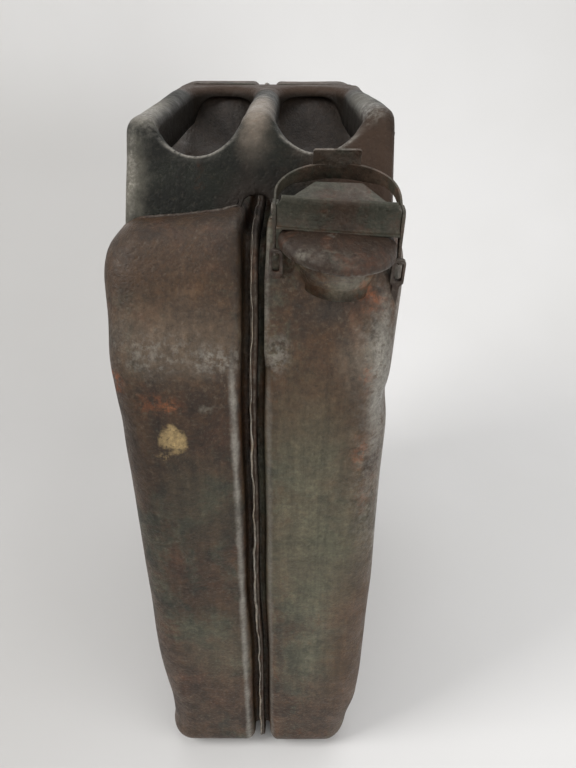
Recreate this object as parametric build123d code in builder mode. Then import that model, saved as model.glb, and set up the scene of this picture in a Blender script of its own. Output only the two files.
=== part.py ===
from build123d import *
import math
import os

# A slim fuel can: two pressed halves joined at a recessed centre seam, a three-grip
# handle on the deck, and a filler neck in the right half closed by a lever cap.
# Millimetres. X: left (-) to right (+), Y: front (-) to rear (+), Z: up.
# Origin: on the ground, centre of the overall footprint box.

os.makedirs("parts", exist_ok=True)

# Body
width = 165.0            # across the two halves
depth = 345.0            # front wall to rear wall
bend_height = 397.0      # where the front wall starts to lean back
facet_lean = 22.0        # lean of the upper front facet from vertical, degrees
deck_height = 463.0      # top deck below the grips
hump_height = 519.0      # rear hump, also the overall height
hump_foot = 236.0        # from the front wall to the foot of the hump slope
hump_crest = 271.0       # from the front wall to the crest of the hump slope
sheet = 1.1              # body sheet
side_radius = 20.0       # round of the side edges of each half
channel_radius = 4.5     # round of the edges beside the seam channel
groove_half = 6.75       # half width of the recessed seam channel
groove_depth = 12.0      # depth of the recessed seam channel
channel_overlap = 0.5    # channel solid reaches this far into the half
flange_sheet = 1.2       # each weld flange standing in the channel
flange_below = 2.6       # flange edge below the body surface
weld_below = 1.0         # weld bead crest below the body surface
weld_half = 1.7          # half width of the weld bead

# Crossed stiffening swages pressed into each side
swage_depth = 3.0
swage_wide = 30.0
swage_long = 410.0
swage_angle = 56.0
swage_centre_y = 168.0   # from the front wall
swage_centre_z = 236.0

# Handle pressing, with Y distances taken from the front wall
handle_half = 77.0       # half width
handle_sheet = 1.5
handle_top = 517.0
handle_foot = 57.0       # foot of the front plate
handle_front = 87.0      # front top edge
handle_rear = 250.0      # rear top edge
handle_sunk = 14.0       # handle solid reaches this far below the deck before trimming
handle_top_radius = 11.0
handle_side_radius = 9.0
rear_slope_z = 496.0     # lower end of the rear slope
rear_slope_run = 20.0    # from the rear top edge to that lower end
grip_depth = 13.0        # depth of the turned-down grip edges
slot_inner = 10.5        # opening edge beside the centre grip
slot_outer = 59.5        # opening edge beside the outer grip
slot_front = 72.0
slot_rear = 240.0

# Filler neck and breather
neck_x = 45.7            # filler axis, right half
neck_y = 22.1            # filler axis at the cap, from the front wall
neck_z = 462.9           # height of the cap rim centre
neck_tilt = 8.0          # forward tilt of the filler axis, degrees
neck_radius = 21.0
bore_radius = 19.0
lip_radius = 22.0
neck_length = 40.0
neck_top = -1.05         # lip face, along the filler axis
fit = 0.03               # radial gap around the neck and the breather tube
breather_z = neck_z - 30
breather_radius = 4.0
breather_bore = 3.0

# Cap fittings; v is rearward of the filler axis, w is above the rim centre
rim_radius = 30.5        # cap cover
rim_half = 2.7
dome_crest = 5.2
cap_rivet_v = 9.5
cap_rivet_radius = 2.5
hinge_v = 28.0           # cap hinge axis
hinge_w = 5.0
hinge_eye_radius = 4.2
pivot_v = 8.0            # lever pivot axis
pivot_w = 13.0
lever_rise = 18.0        # rise of the lever band toward the rear, degrees
pin_radius = 1.8
rivet_radius = 2.0
running = 0.06           # radial running clearance of the pivots
contact_gap = 0.02       # gap between stacked cap parts

cap_overhang = 8.27      # cap rim standing proud of the front wall
front = -(depth + cap_overhang) / 2 + cap_overhang
rear = front + depth
half = width / 2


def save(name, part):
    """Label a piece and write its STEP file."""
    part.label = name
    export_step(part, f"parts/{name}.step")


# ---------------------------------------------------------------------------
# Side outline of the can
# ---------------------------------------------------------------------------
facet_run = (deck_height - bend_height) * math.tan(math.radians(facet_lean))

# ((Y, Z), corner radius)
outline_corners = [
    ((front, 0), 26.0),
    ((front, bend_height), 60.0),
    ((front + facet_run, deck_height), 34.0),
    ((front + hump_foot, deck_height), 30.0),
    ((front + hump_crest, hump_height), 24.0),
    ((rear, hump_height), 40.0),
    ((rear, 0), 28.0),
]

with BuildSketch(Plane.YZ) as outline:
    with BuildLine():
        Polyline(*[point for point, _ in outline_corners], close=True)
    make_face()
    for (y, z), radius in outline_corners:
        fillet(outline.vertices().sort_by_distance((y, z, 0))[0], radius=radius)


def inset(amount):
    """Side outline moved inward by an amount, as a local face on YZ."""
    return offset(outline.sketch_local, amount=-amount, kind=Kind.INTERSECTION,
                  mode=Mode.PRIVATE)


# ---------------------------------------------------------------------------
# Solid envelopes used to form the sheet halves and to trim what sits on them
# ---------------------------------------------------------------------------
def edges_at_x(builder, x):
    """Edges lying wholly in the plane at x."""
    return builder.edges().filter_by(lambda e: abs(e.bounding_box().min.X - x) < 0.01
                                     and abs(e.bounding_box().max.X - x) < 0.01)


def half_envelope(wall):
    """Solid left half, with its surface moved inward by wall."""
    with BuildPart() as envelope_half:
        with BuildSketch(Plane.YZ.offset(-half + wall)):
            add(inset(wall) if wall else outline.sketch_local)
        extrude(amount=half - groove_half - 2 * wall)
        fillet(edges_at_x(envelope_half, -half + wall), radius=side_radius - wall)
        fillet(edges_at_x(envelope_half, -groove_half - wall), radius=channel_radius - wall)
        # narrower core behind the seam channel
        with BuildSketch(Plane.YZ.offset(-groove_half - wall - channel_overlap)):
            add(inset(groove_depth + wall))
        extrude(amount=groove_half + wall + channel_overlap)
        # crossed swages, cut from just outside the side
        with BuildSketch(Plane.YZ.offset(-half - 1)):
            with Locations((front + swage_centre_y, swage_centre_z)):
                for angle in (swage_angle, -swage_angle):
                    SlotOverall(swage_long + 2 * wall, swage_wide + 2 * wall, rotation=angle)
        extrude(amount=swage_depth + wall + 1, mode=Mode.SUBTRACT)
    return envelope_half.part


envelope_outer = half_envelope(0)
envelope_inner = half_envelope(sheet)

with BuildPart() as envelope:
    add(envelope_outer)
    add(mirror(envelope_outer, about=Plane.YZ, mode=Mode.PRIVATE))

# ---------------------------------------------------------------------------
# Left body half: pressed sheet, recessed channel wall and weld flange
# ---------------------------------------------------------------------------
with BuildPart() as body_shell_left:
    add(envelope_outer)
    add(envelope_inner, mode=Mode.SUBTRACT)
    with BuildSketch(Plane.YZ.offset(-flange_sheet)):
        add(inset(flange_below))
        add(inset(groove_depth + sheet), mode=Mode.SUBTRACT)
    extrude(amount=flange_sheet)
save("body_shell_left", body_shell_left.part)

# ---------------------------------------------------------------------------
# Filler axis frame: local x across, local y to the rear, local z up the axis
# ---------------------------------------------------------------------------
tilt = math.radians(neck_tilt)
cap_plane = Plane(origin=(neck_x, front + neck_y, neck_z), x_dir=(1, 0, 0),
                  z_dir=(0, -math.sin(tilt), math.cos(tilt)))


def side_plane(x):
    """Plane across the frame at local x; sketch axes (rearward, up the axis)."""
    return Plane(origin=cap_plane.from_local_coords((x, 0, 0)), x_dir=cap_plane.y_dir,
                 z_dir=(1, 0, 0))


def section_plane(v):
    """Plane facing forward at local y = v; sketch axes (across, up the axis)."""
    return Plane(origin=cap_plane.from_local_coords((0, v, 0)), x_dir=(1, 0, 0),
                 z_dir=-cap_plane.y_dir)


def rising_plane(v, w, degrees):
    """Plane at (v, w) in the frame, rising toward the rear by an angle."""
    angle = math.radians(degrees)
    return Plane(origin=cap_plane.from_local_coords((0, v, w)), x_dir=(1, 0, 0),
                 z_dir=cap_plane.z_dir * math.cos(angle) - cap_plane.y_dir * math.sin(angle))


def turned(points, v=0):
    """Solid of (radius, height) points revolved about the axis direction at local y = v."""
    section = section_plane(v)
    with BuildPart() as solid:
        with BuildSketch(section):
            with BuildLine():
                Polyline(*points, close=True)
            make_face()
        revolve(axis=Axis(section.origin, cap_plane.z_dir), revolution_arc=360)
    return solid.part


def start_x(side, inner, outer):
    """Lower x of a span inner..outer on the left (side -1) or right (side 1)."""
    return min(side * inner, side * outer)


sides = (("left", -1), ("right", 1))

# ---------------------------------------------------------------------------
# Right body half: mirror of the left with a flared boss for the filler neck
# ---------------------------------------------------------------------------
# (radius, height) along the filler axis
boss_outer_points = [
    (0, -22), (22.6, -22), (23.2, -30), (24.2, -38), (22.5, -47), (16, -55), (0, -60),
]
boss_inner_points = [
    (0, 20), (neck_radius + fit, 20), (neck_radius + fit, -26), (22.0, -30.5),
    (22.9, -38), (21.3, -46.3), (15.2, -53.8), (0, -58.7),
]
boss_inner = turned(boss_inner_points)

with BuildPart() as boss_ring:
    add(turned(boss_outer_points))
    add(boss_inner, mode=Mode.SUBTRACT)
    add(mirror(envelope_inner, about=Plane.YZ, mode=Mode.PRIVATE), mode=Mode.SUBTRACT)

with BuildPart() as body_shell_right:
    add(mirror(body_shell_left.part, about=Plane.YZ, mode=Mode.PRIVATE))
    add(boss_inner, mode=Mode.SUBTRACT)
    add(boss_ring.part)
save("body_shell_right", body_shell_right.part)

# ---------------------------------------------------------------------------
# Seam weld: bead along the edges of both flanges, all round the can
# ---------------------------------------------------------------------------
with BuildPart() as seam_weld:
    with BuildSketch(Plane.YZ.offset(-weld_half)):
        add(inset(weld_below))
        add(inset(flange_below), mode=Mode.SUBTRACT)
    extrude(amount=2 * weld_half)
save("seam_weld", seam_weld.part)

# space kept free around the bead where the handle crosses it
clearance_half = weld_half + 0.5
with BuildPart() as seam_clearance:
    with BuildSketch(Plane.YZ.offset(-clearance_half)):
        add(inset(weld_below - 0.2))
    extrude(amount=2 * clearance_half)

# ---------------------------------------------------------------------------
# Handle: one pressing, sloping front plate, two openings, three grips
# ---------------------------------------------------------------------------
plate_slope = (handle_front - handle_foot) / (handle_top - deck_height)
foot_y = front + handle_foot
top_y = front + handle_front
rear_y = front + handle_rear
rear_foot_y = rear_y + rear_slope_run
sunk_z = deck_height - handle_sunk


def handle_points(wall):
    """(Y, Z) side profile of the handle, moved inward by wall."""
    shift = wall / math.cos(math.atan(plate_slope))
    return [
        (foot_y - handle_sunk * plate_slope + shift, sunk_z),
        (top_y + shift - wall * plate_slope, handle_top - wall),
        (rear_y, handle_top - wall),
        (rear_foot_y, rear_slope_z - wall),
        (rear_foot_y + 8, sunk_z),
    ]


def handle_solid(wall):
    """Solid handle envelope, with its surface moved inward by wall."""
    side_x = handle_half - wall
    with BuildPart() as solid:
        with BuildSketch(Plane.YZ.offset(-side_x)):
            with BuildLine():
                Polyline(*handle_points(wall), close=True)
            make_face()
        extrude(amount=2 * side_x)
        fillet(solid.edges().filter_by(Axis.X).group_by(Axis.Z)[-1],
               radius=handle_top_radius - wall)
        # side edges, all but the bottom ones and the rear drop
        fillet(solid.edges().filter_by(lambda e: abs(abs(e.center().X) - side_x) < 0.01
                                       and e.bounding_box().size.X < 0.01
                                       and e.bounding_box().max.Z > sunk_z + 0.1
                                       and e.center().Y < rear_foot_y + 1),
               radius=handle_side_radius - wall)
    return solid.part


slot_mid = (slot_inner + slot_outer) / 2
slot_wide = slot_outer - slot_inner
slot_long = slot_rear - slot_front
slot_y = front + (slot_front + slot_rear) / 2
slot_centres = [(-slot_mid, slot_y), (slot_mid, slot_y)]


def slot_size(grow=0):
    """Width, length and corner radius of an opening, grown all round."""
    return slot_wide + 2 * grow, slot_long + 2 * grow, slot_wide / 2 - 0.5 + grow


handle_outer = handle_solid(0)
handle_inner = handle_solid(handle_sheet)

# (Y, Z) outline of the hand clearance below the turned-down edges
hand_clearance_points = [
    (foot_y + 20, deck_height - 20), (foot_y + 20, deck_height + 6),
    (top_y + 16, handle_top - grip_depth), (rear_y - 14, handle_top - grip_depth),
    (rear_y + 4, deck_height + 12), (rear_y + 40, deck_height + 12),
    (rear_y + 40, deck_height - 20),
]

with BuildPart() as handle_shell:
    add(handle_outer)
    add(handle_inner, mode=Mode.SUBTRACT)
    # openings between the grips
    with BuildSketch(Plane.XY.offset(deck_height + 4)):
        with Locations(*slot_centres):
            RectangleRounded(*slot_size())
    extrude(amount=80, mode=Mode.SUBTRACT)
    # hand clearance through both sides
    with BuildSketch(Plane.YZ.offset(-handle_half - 5)):
        with BuildLine():
            Polyline(*hand_clearance_points, close=True)
        make_face()
    extrude(amount=2 * handle_half + 10, mode=Mode.SUBTRACT)
    add(envelope.part, mode=Mode.SUBTRACT)
    add(seam_clearance.part, mode=Mode.SUBTRACT)

# turned-down edges around the two openings
with BuildPart() as handle_lips:
    with BuildSketch(Plane.XY.offset(handle_top - grip_depth)):
        with Locations(*slot_centres):
            RectangleRounded(*slot_size(handle_sheet))
        with Locations(*slot_centres):
            RectangleRounded(*slot_size(), mode=Mode.SUBTRACT)
    extrude(amount=grip_depth)
    add(handle_outer, mode=Mode.INTERSECT)

with BuildPart() as handle_pressing:
    add(handle_shell.part)
    add(handle_lips.part)
save("handle_pressing", handle_pressing.part)


def handle_weld(y, z, radius, inner, outer):
    """Round bead on each side of the seam, spanning inner to outer from the centre."""
    with BuildPart() as weld:
        for x in (-outer, inner):
            with BuildSketch(Plane.YZ.offset(x)):
                with Locations((y, z)):
                    Circle(radius)
            extrude(amount=outer - inner)
        add(envelope.part, mode=Mode.SUBTRACT)
        add(handle_pressing.part, mode=Mode.SUBTRACT)
    return weld.part


save("handle_weld_front", handle_weld(y=foot_y - 0.3, z=deck_height + 0.2, radius=1.8,
                                      inner=groove_half + 5, outer=handle_half - 9))
save("handle_weld_rear", handle_weld(y=front + 262.4, z=506.2, radius=1.9,
                                     inner=groove_half + 6, outer=handle_half - 10))

# ---------------------------------------------------------------------------
# Filler neck and breather tube
# ---------------------------------------------------------------------------
# (radius, height) along the filler axis: tube with an outward lip and a counterbore
neck_points = [
    (bore_radius, neck_top - neck_length), (neck_radius, neck_top - neck_length),
    (neck_radius, -3.2), (lip_radius, -2.8), (lip_radius, -1.6),
    (lip_radius - 0.55, neck_top), (bore_radius + 0.9, neck_top),
    (bore_radius + 0.5, -1.5), (bore_radius + 0.5, -4.2), (bore_radius, -4.5),
]
with BuildPart() as filler_neck:
    add(turned(neck_points))
    # hole for the breather tube through the rear wall of the neck
    with BuildSketch(Plane.XZ.offset(-(front + neck_y + 10))):
        with Locations((neck_x, breather_z)):
            Circle(breather_radius + fit)
    extrude(amount=-25, mode=Mode.SUBTRACT)
save("filler_neck", filler_neck.part)

with BuildPart() as breather_tube:
    with BuildLine(Plane(origin=(neck_x, 0, 0), x_dir=(0, 1, 0),
                         z_dir=(1, 0, 0))) as breather_path:
        FilletPolyline((front + neck_y + 12, breather_z), (front + 205, breather_z),
                       (front + 290, hump_height - 16), radius=30)
    with BuildSketch(Plane(origin=breather_path.line @ 0, z_dir=breather_path.line % 0)):
        Circle(breather_radius)
        Circle(breather_bore, mode=Mode.SUBTRACT)
    sweep()
    # trimmed flush with the neck bore
    with BuildSketch(cap_plane.offset(-60)):
        Circle(bore_radius)
    extrude(amount=60, mode=Mode.SUBTRACT)
save("breather_tube", breather_tube.part)


# ---------------------------------------------------------------------------
# Keeper lugs beside the neck: plates with a window for the lever claws
# ---------------------------------------------------------------------------
keeper_v = -6.0          # front face
keeper_sheet = 2.6
keeper_top = -3.5
keeper_x = 32.4
keeper_wide = 6.6
window_x = 33.1
window_w = -9.4


def keeper_lug(side, length):
    with BuildPart() as lug:
        with BuildSketch(section_plane(keeper_v)):
            with Locations((side * keeper_x, keeper_top - length / 2)):
                RectangleRounded(keeper_wide, length, 2.2)
            with Locations((side * window_x, window_w)):
                RectangleRounded(2.6, 8.0, 1.0, mode=Mode.SUBTRACT)
        extrude(amount=-keeper_sheet)
        add(envelope.part, mode=Mode.SUBTRACT)
    return lug.part


save("left_keeper_lug", keeper_lug(side=-1, length=21.0))
save("right_keeper_lug", keeper_lug(side=1, length=29.0))

# ---------------------------------------------------------------------------
# Yoke and lever planes across the filler axis, shared by the pins and rivets
# ---------------------------------------------------------------------------
yoke_sheet = 1.2
ear_out = 32.4
ear_in = ear_out - yoke_sheet
lever_sheet = 1.2
arm_in = 32.6
arm_out = arm_in + lever_sheet

# ---------------------------------------------------------------------------
# Hinge lugs on the deck behind the neck, with their fixed pins
# ---------------------------------------------------------------------------
hinge_lug_in = 29.5
hinge_lug_out = 31.0
lug_foot_w = -26         # below the deck, trimmed by the can

# (v, w) outline of a lug below its round eye
hinge_lug_points = [
    (hinge_v - 5.5, lug_foot_w), (hinge_v - hinge_eye_radius, hinge_w),
    (hinge_v - hinge_eye_radius, hinge_w + 0.1), (hinge_v + hinge_eye_radius, hinge_w + 0.1),
    (hinge_v + hinge_eye_radius, hinge_w), (hinge_v + hinge_eye_radius, lug_foot_w),
]


def hinge_lug(side):
    with BuildPart() as lug:
        with BuildSketch(side_plane(start_x(side, hinge_lug_in, hinge_lug_out))):
            with BuildLine():
                Polyline(*hinge_lug_points, close=True)
            make_face()
            with Locations((hinge_v, hinge_w)):
                Circle(hinge_eye_radius)
                Circle(pin_radius, mode=Mode.SUBTRACT)
        extrude(amount=hinge_lug_out - hinge_lug_in)
        add(envelope.part, mode=Mode.SUBTRACT)
    return lug.part


def stepped_pin(side, v, w, discs):
    """Crosswise pin at (v, w) made of (inner x, outer x, radius) discs."""
    with BuildPart() as pin:
        for inner, outer, radius in discs:
            with BuildSketch(side_plane(start_x(side, inner, outer))):
                with Locations((v, w)):
                    Circle(radius)
            extrude(amount=outer - inner)
    return pin.part


hinge_pin_discs = [
    (hinge_lug_in - 1.1, hinge_lug_in, 3.0),
    (hinge_lug_in, ear_out, pin_radius),
]
for name, side in sides:
    save(f"{name}_hinge_lug", hinge_lug(side))
    save(f"{name}_hinge_pin", stepped_pin(side, hinge_v, hinge_w, hinge_pin_discs))

# ---------------------------------------------------------------------------
# Cap: domed cover, gasket, retainer and rivet
# ---------------------------------------------------------------------------
gasket_under = -1.0
retainer_top = gasket_under - contact_gap
retainer_under = -2.0
yoke_base = dome_crest + contact_gap
rivet_seat = yoke_base + yoke_sheet + contact_gap

# (radius, height) along the filler axis
cover_points = [
    (0, dome_crest), (14, dome_crest), (22, 4.6), (27.5, 3.3), (rim_radius, 1.2),
    (rim_radius, -rim_half), (rim_radius - 1, -rim_half), (rim_radius - 1, 0.8),
    (27, 2.35), (22, 3.6), (14, dome_crest - 1), (0, dome_crest - 1),
]
gasket_points = [
    (0, gasket_under), (24.0, gasket_under), (24.0, 2.4), (22, 3.0),
    (14, dome_crest - 1.1), (0, dome_crest - 1.1),
]
retainer_points = [
    (0, retainer_under), (16, retainer_under), (17.5, -1.4), (17.5, retainer_top),
    (0, retainer_top),
]
# (radius, height) about the rivet's own axis
cap_rivet_points = [
    (0, -3.4), (3.4, -3.4), (4.4, retainer_under), (cap_rivet_radius, retainer_under),
    (cap_rivet_radius, rivet_seat), (4.6, rivet_seat), (4.1, dome_crest + 2.4),
    (2.4, dome_crest + 3.2), (0, dome_crest + 3.4),
]


def cap_layer(points):
    """Turned cap part with the rivet hole through it."""
    with BuildPart() as layer:
        add(turned(points))
        with BuildSketch(cap_plane.offset(-5)):
            with Locations((0, cap_rivet_v)):
                Circle(cap_rivet_radius)
        extrude(amount=20, mode=Mode.SUBTRACT)
    return layer.part


save("cap_cover", cap_layer(cover_points))
save("cap_gasket", cap_layer(gasket_points))
save("gasket_retainer", cap_layer(retainer_points))
save("cap_rivet", turned(cap_rivet_points, v=cap_rivet_v))

# ---------------------------------------------------------------------------
# Yoke: bent sheet bridging the cover, with a front wall, a raised tongue
# and two ears that carry the lever and ride on the hinge pins
# ---------------------------------------------------------------------------
yoke_front = 3.0         # front face, v
base_long = 15.0

# (across, w)
yoke_wall_points = [
    (-ear_out, yoke_base), (-ear_out, 17.0), (-29.5, 21.0), (29.5, 21.0),
    (ear_out, 17.0), (ear_out, yoke_base),
]
# (v, w)
ear_points = [
    (yoke_front, yoke_base), (yoke_front, 17.5), (10.5, 17.5), (18.5, 12.0),
    (hinge_v + 3.2, hinge_w + 3.2), (hinge_v + 3.2, hinge_w - 2.9),
    (hinge_v - 5, hinge_w - 2.9), (16, yoke_base),
]

with BuildPart() as cap_yoke:
    # base strip on the cover
    with BuildSketch(cap_plane.offset(yoke_base)):
        with Locations((0, yoke_front + base_long / 2)):
            Rectangle(2 * ear_out, base_long)
        with Locations((0, cap_rivet_v)):
            Circle(cap_rivet_radius, mode=Mode.SUBTRACT)
    extrude(amount=yoke_sheet)
    # front wall, wider at the foot
    with BuildSketch(section_plane(yoke_front)):
        with BuildLine():
            Polyline(*yoke_wall_points, close=True)
        make_face()
    extrude(amount=-yoke_sheet)
    # tongue rising to the rear and narrowing
    with BuildSketch(rising_plane(v=yoke_front, w=19.8, degrees=17)):
        with BuildLine():
            Polyline((-24, 0), (24, 0), (11.5, 15), (-11.5, 15), close=True)
        make_face()
    extrude(amount=yoke_sheet)
    # ears
    for x in (-ear_out, ear_in):
        with BuildSketch(side_plane(x)):
            with BuildLine():
                Polyline(*ear_points, close=True)
            make_face()
            with Locations((hinge_v, hinge_w)):
                Circle(hinge_eye_radius)
                Circle(pin_radius + running, mode=Mode.SUBTRACT)
            with Locations((pivot_v, pivot_w)):
                Circle(rivet_radius, mode=Mode.SUBTRACT)
        extrude(amount=yoke_sheet)
save("cap_yoke", cap_yoke.part)

# ---------------------------------------------------------------------------
# Lever: curved band with a thumb tab and two claws, and its two rivets
# ---------------------------------------------------------------------------
lever_plane = rising_plane(v=pivot_v, w=pivot_w, degrees=lever_rise)
band_long = 36.0
band_half = 3.5          # half height of the band
arm_straight = 8         # straight part of each arm, behind the pivot
arm_eye_radius = 4.6
tab_wide = 26
tab_high = 11

# (v, w) outline of an arm's claw, from the pivot down to the keeper lug
claw_points = [
    (pivot_v - arm_eye_radius, pivot_w), (pivot_v + arm_eye_radius, pivot_w),
    (4.0, -6), (2.2, -9.4), (-1.0, -10.0), (-4.8, -8.4), (-4.8, -7.0), (-1.0, -7.0),
    (-0.5, -5.0),
]

with BuildPart() as cap_lever:
    # band: two straight arms joined by a curved rear
    with BuildSketch(lever_plane.offset(-band_half)):
        for arm_x, arm_front, mode in ((arm_out, 0, Mode.ADD), (arm_in, -1, Mode.SUBTRACT)):
            with BuildLine():
                Polyline((-arm_x, arm_straight), (-arm_x, arm_front),
                         (arm_x, arm_front), (arm_x, arm_straight))
                EllipticalCenterArc((0, arm_straight), arm_x,
                                    band_long - arm_straight - (arm_out - arm_x),
                                    start_angle=0, arc_size=180)
            make_face(mode=mode)
    extrude(amount=2 * band_half)
    # thumb tab at the rear
    tab_origin = lever_plane.from_local_coords((0, band_long - lever_sheet, band_half - 1.5))
    with BuildSketch(Plane(origin=tab_origin, x_dir=(1, 0, 0), z_dir=-lever_plane.y_dir)):
        with Locations((0, tab_high / 2)):
            RectangleRounded(tab_wide, tab_high, 1.6)
    extrude(amount=-lever_sheet)
    # arms round the rivets and claws down to the keeper lugs
    for x in (-arm_out, arm_in):
        with BuildSketch(side_plane(x)):
            with Locations((pivot_v, pivot_w)):
                Circle(arm_eye_radius)
            with BuildLine():
                Polyline(*claw_points, close=True)
            make_face()
            with Locations((pivot_v, pivot_w)):
                Circle(rivet_radius + running, mode=Mode.SUBTRACT)
        extrude(amount=lever_sheet)
    # the rivet holes again, through the band that overlaps the arms
    for x in (-arm_out, arm_in):
        with BuildSketch(side_plane(x)):
            with Locations((pivot_v, pivot_w)):
                Circle(rivet_radius + running)
        extrude(amount=lever_sheet, mode=Mode.SUBTRACT)
save("cap_lever", cap_lever.part)

rivet_head_radius = 3.4
rivet_head = 1.2         # head thickness
shank_out = arm_out + 0.2
lever_rivet_discs = [
    (shank_out, shank_out + rivet_head, rivet_head_radius),
    (ear_in, shank_out, rivet_radius),
    (ear_in - rivet_head, ear_in, rivet_head_radius),
]
for name, side in sides:
    save(f"{name}_lever_rivet", stepped_pin(side, pivot_v, pivot_w, lever_rivet_discs))
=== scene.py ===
"""A dented, rusted steel can with a pressed handle sheet and a hinged, lever-closed cap.

The can stands on z = 0. Its front wall faces -y, x runs across it and the seam lies on x = 0.
The filler neck and cap sit on the right (+x) end of the shoulder, in front of the handle.
Shapes are worked out in millimetres: x across, y back from the front wall, z up.
"""
import bpy
import bmesh
import math
from collections import namedtuple
import numpy as np
from mathutils import Vector, Matrix


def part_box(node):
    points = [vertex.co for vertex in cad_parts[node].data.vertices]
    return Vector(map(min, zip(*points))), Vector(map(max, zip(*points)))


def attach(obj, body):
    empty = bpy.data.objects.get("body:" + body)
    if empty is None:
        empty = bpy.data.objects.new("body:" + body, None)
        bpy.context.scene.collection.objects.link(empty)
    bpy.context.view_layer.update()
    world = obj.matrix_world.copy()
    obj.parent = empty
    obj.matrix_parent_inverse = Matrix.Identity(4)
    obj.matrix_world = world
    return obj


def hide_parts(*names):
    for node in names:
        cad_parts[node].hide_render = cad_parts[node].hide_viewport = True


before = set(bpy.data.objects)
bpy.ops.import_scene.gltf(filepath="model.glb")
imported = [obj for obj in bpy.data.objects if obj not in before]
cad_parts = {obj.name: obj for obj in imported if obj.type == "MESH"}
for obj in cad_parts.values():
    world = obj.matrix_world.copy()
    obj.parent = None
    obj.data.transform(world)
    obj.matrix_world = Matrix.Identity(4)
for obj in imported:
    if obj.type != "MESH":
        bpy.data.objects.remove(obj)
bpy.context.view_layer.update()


MM = 0.001
shell_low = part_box("body_shell_left")[0]
FRONT = shell_low.y               # front wall, metres
HALF = abs(shell_low.x) / MM      # half the can's thickness across
EDGE_ROUND = 20.0                 # rounding between the rim and the flat sides

# Filler axis: tilted towards the front, with its origin at the cap seat
TILT = math.radians(8)
CAP_SEAT = np.array([45.7, 22.1, 462.9])
ACROSS = np.array([1.0, 0, 0])
CAP_BACK = np.array([0, math.cos(TILT), math.sin(TILT)])
CAP_UP = np.array([0, -math.sin(TILT), math.cos(TILT)])
LEVER_PIVOT = (8, 13)             # back, up from the cap seat
HINGE = (28, 5)


# ------------------------------------------------------------------ helpers
def waves(points, scale, seed):
    """Smooth seeded noise, about -1 to 1, at the points."""
    count = 7
    draws = np.random.RandomState(seed)
    total = np.zeros(len(points))
    for _ in range(count):
        heading = draws.normal(size=3)
        heading /= np.linalg.norm(heading)
        rate = 2 * math.pi / (scale * draws.uniform(0.7, 1.6))
        phase = draws.uniform(0, 6.28)
        total += np.sin(points @ heading * rate + phase) * draws.uniform(0.5, 1.0)
    return total / (count * 0.55)


def ease(start, end, value):
    """Smooth step from 0 at start to 1 at end; start may be the larger."""
    t = np.clip((value - start) / (end - start), 0, 1)
    return t * t * (3 - 2 * t)


def hump(value, centre, width):
    return np.exp(-((value - centre) / width) ** 2)


def to_metres(points):
    moved = np.asarray(points, float) * MM
    moved[:, 1] += FRONT
    return moved


def link(obj):
    bpy.context.scene.collection.objects.link(obj)
    return obj


def shade_smooth(mesh):
    mesh.polygons.foreach_set("use_smooth", [True] * len(mesh.polygons))


def make(name, points, faces, material):
    """Smooth mesh object from points in millimetres."""
    mesh = bpy.data.meshes.new(name)
    mesh.from_pydata([tuple(p) for p in to_metres(points)], [], faces)
    mesh.validate()
    edit = bmesh.new()
    edit.from_mesh(mesh)
    bmesh.ops.recalc_face_normals(edit, faces=edit.faces)
    edit.to_mesh(mesh)
    edit.free()
    obj = link(bpy.data.objects.new(name, mesh))
    shade_smooth(mesh)
    mesh.materials.append(material)
    return obj


def register(obj, node, rider):
    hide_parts(node)
    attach(obj, rider)


def grid_faces(rows, columns, wrap_rows=False, wrap_columns=False, flip=False):
    """Quads over points stored row by row."""
    faces = []
    for i in range(rows if wrap_rows else rows - 1):
        for j in range(columns if wrap_columns else columns - 1):
            here, below = i * columns, ((i + 1) % rows) * columns
            after = (j + 1) % columns
            a, b, c, d = here + j, below + j, below + after, here + after
            faces.append((a, d, c, b) if flip else (a, b, c, d))
    return faces


def bevel(obj, width, segments, angle):
    mod = obj.modifiers.new("bevel", "BEVEL")
    mod.width = width * MM
    mod.segments = segments
    mod.limit_method = "ANGLE"
    mod.angle_limit = math.radians(angle)
    mod.harden_normals = False
    obj.modifiers.new("wn", "WEIGHTED_NORMAL").keep_sharp = True


def solidify(obj, thickness, offset):
    mod = obj.modifiers.new("solid", "SOLIDIFY")
    mod.thickness = thickness * MM
    mod.offset = offset
    mod.use_even_offset = False


def join(name, pieces):
    """Bakes the modifiers of the pieces and joins them into one mesh object."""
    graph = bpy.context.evaluated_depsgraph_get()
    edit = bmesh.new()
    for piece in pieces:
        baked = piece.evaluated_get(graph)
        edit.from_mesh(baked.to_mesh())
        baked.to_mesh_clear()
    mesh = bpy.data.meshes.new(name)
    edit.to_mesh(mesh)
    edit.free()
    mesh.materials.append(pieces[0].data.materials[0])
    shade_smooth(mesh)
    obj = link(bpy.data.objects.new(name, mesh))
    for piece in pieces:
        bpy.data.objects.remove(piece)
    return obj


def cap_point(x, back, up):
    """Points given across, back from and up the filler axis."""
    x, back, up = np.broadcast_arrays(*(np.asarray(c, float) for c in (x, back, up)))
    return CAP_SEAT + x[..., None] * ACROSS + back[..., None] * CAP_BACK + up[..., None] * CAP_UP


def to_cap(points):
    offset = points - CAP_SEAT
    return offset @ ACROSS, offset @ CAP_BACK, offset @ CAP_UP


def twist(obj):
    """Tips a closure part a few degrees sideways; the hinge end stays true."""
    flat = np.zeros(len(obj.data.vertices) * 3)
    obj.data.vertices.foreach_get("co", flat)
    points = flat.reshape(-1, 3)
    points[:, 1] -= FRONT
    points = points / MM
    x, back, _ = to_cap(points)
    points = points - (0.082 * x * np.clip((28 - back) / 36, 0, 1.1))[:, None] * CAP_UP
    obj.data.vertices.foreach_set("co", to_metres(points).ravel())
    obj.data.update()


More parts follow.
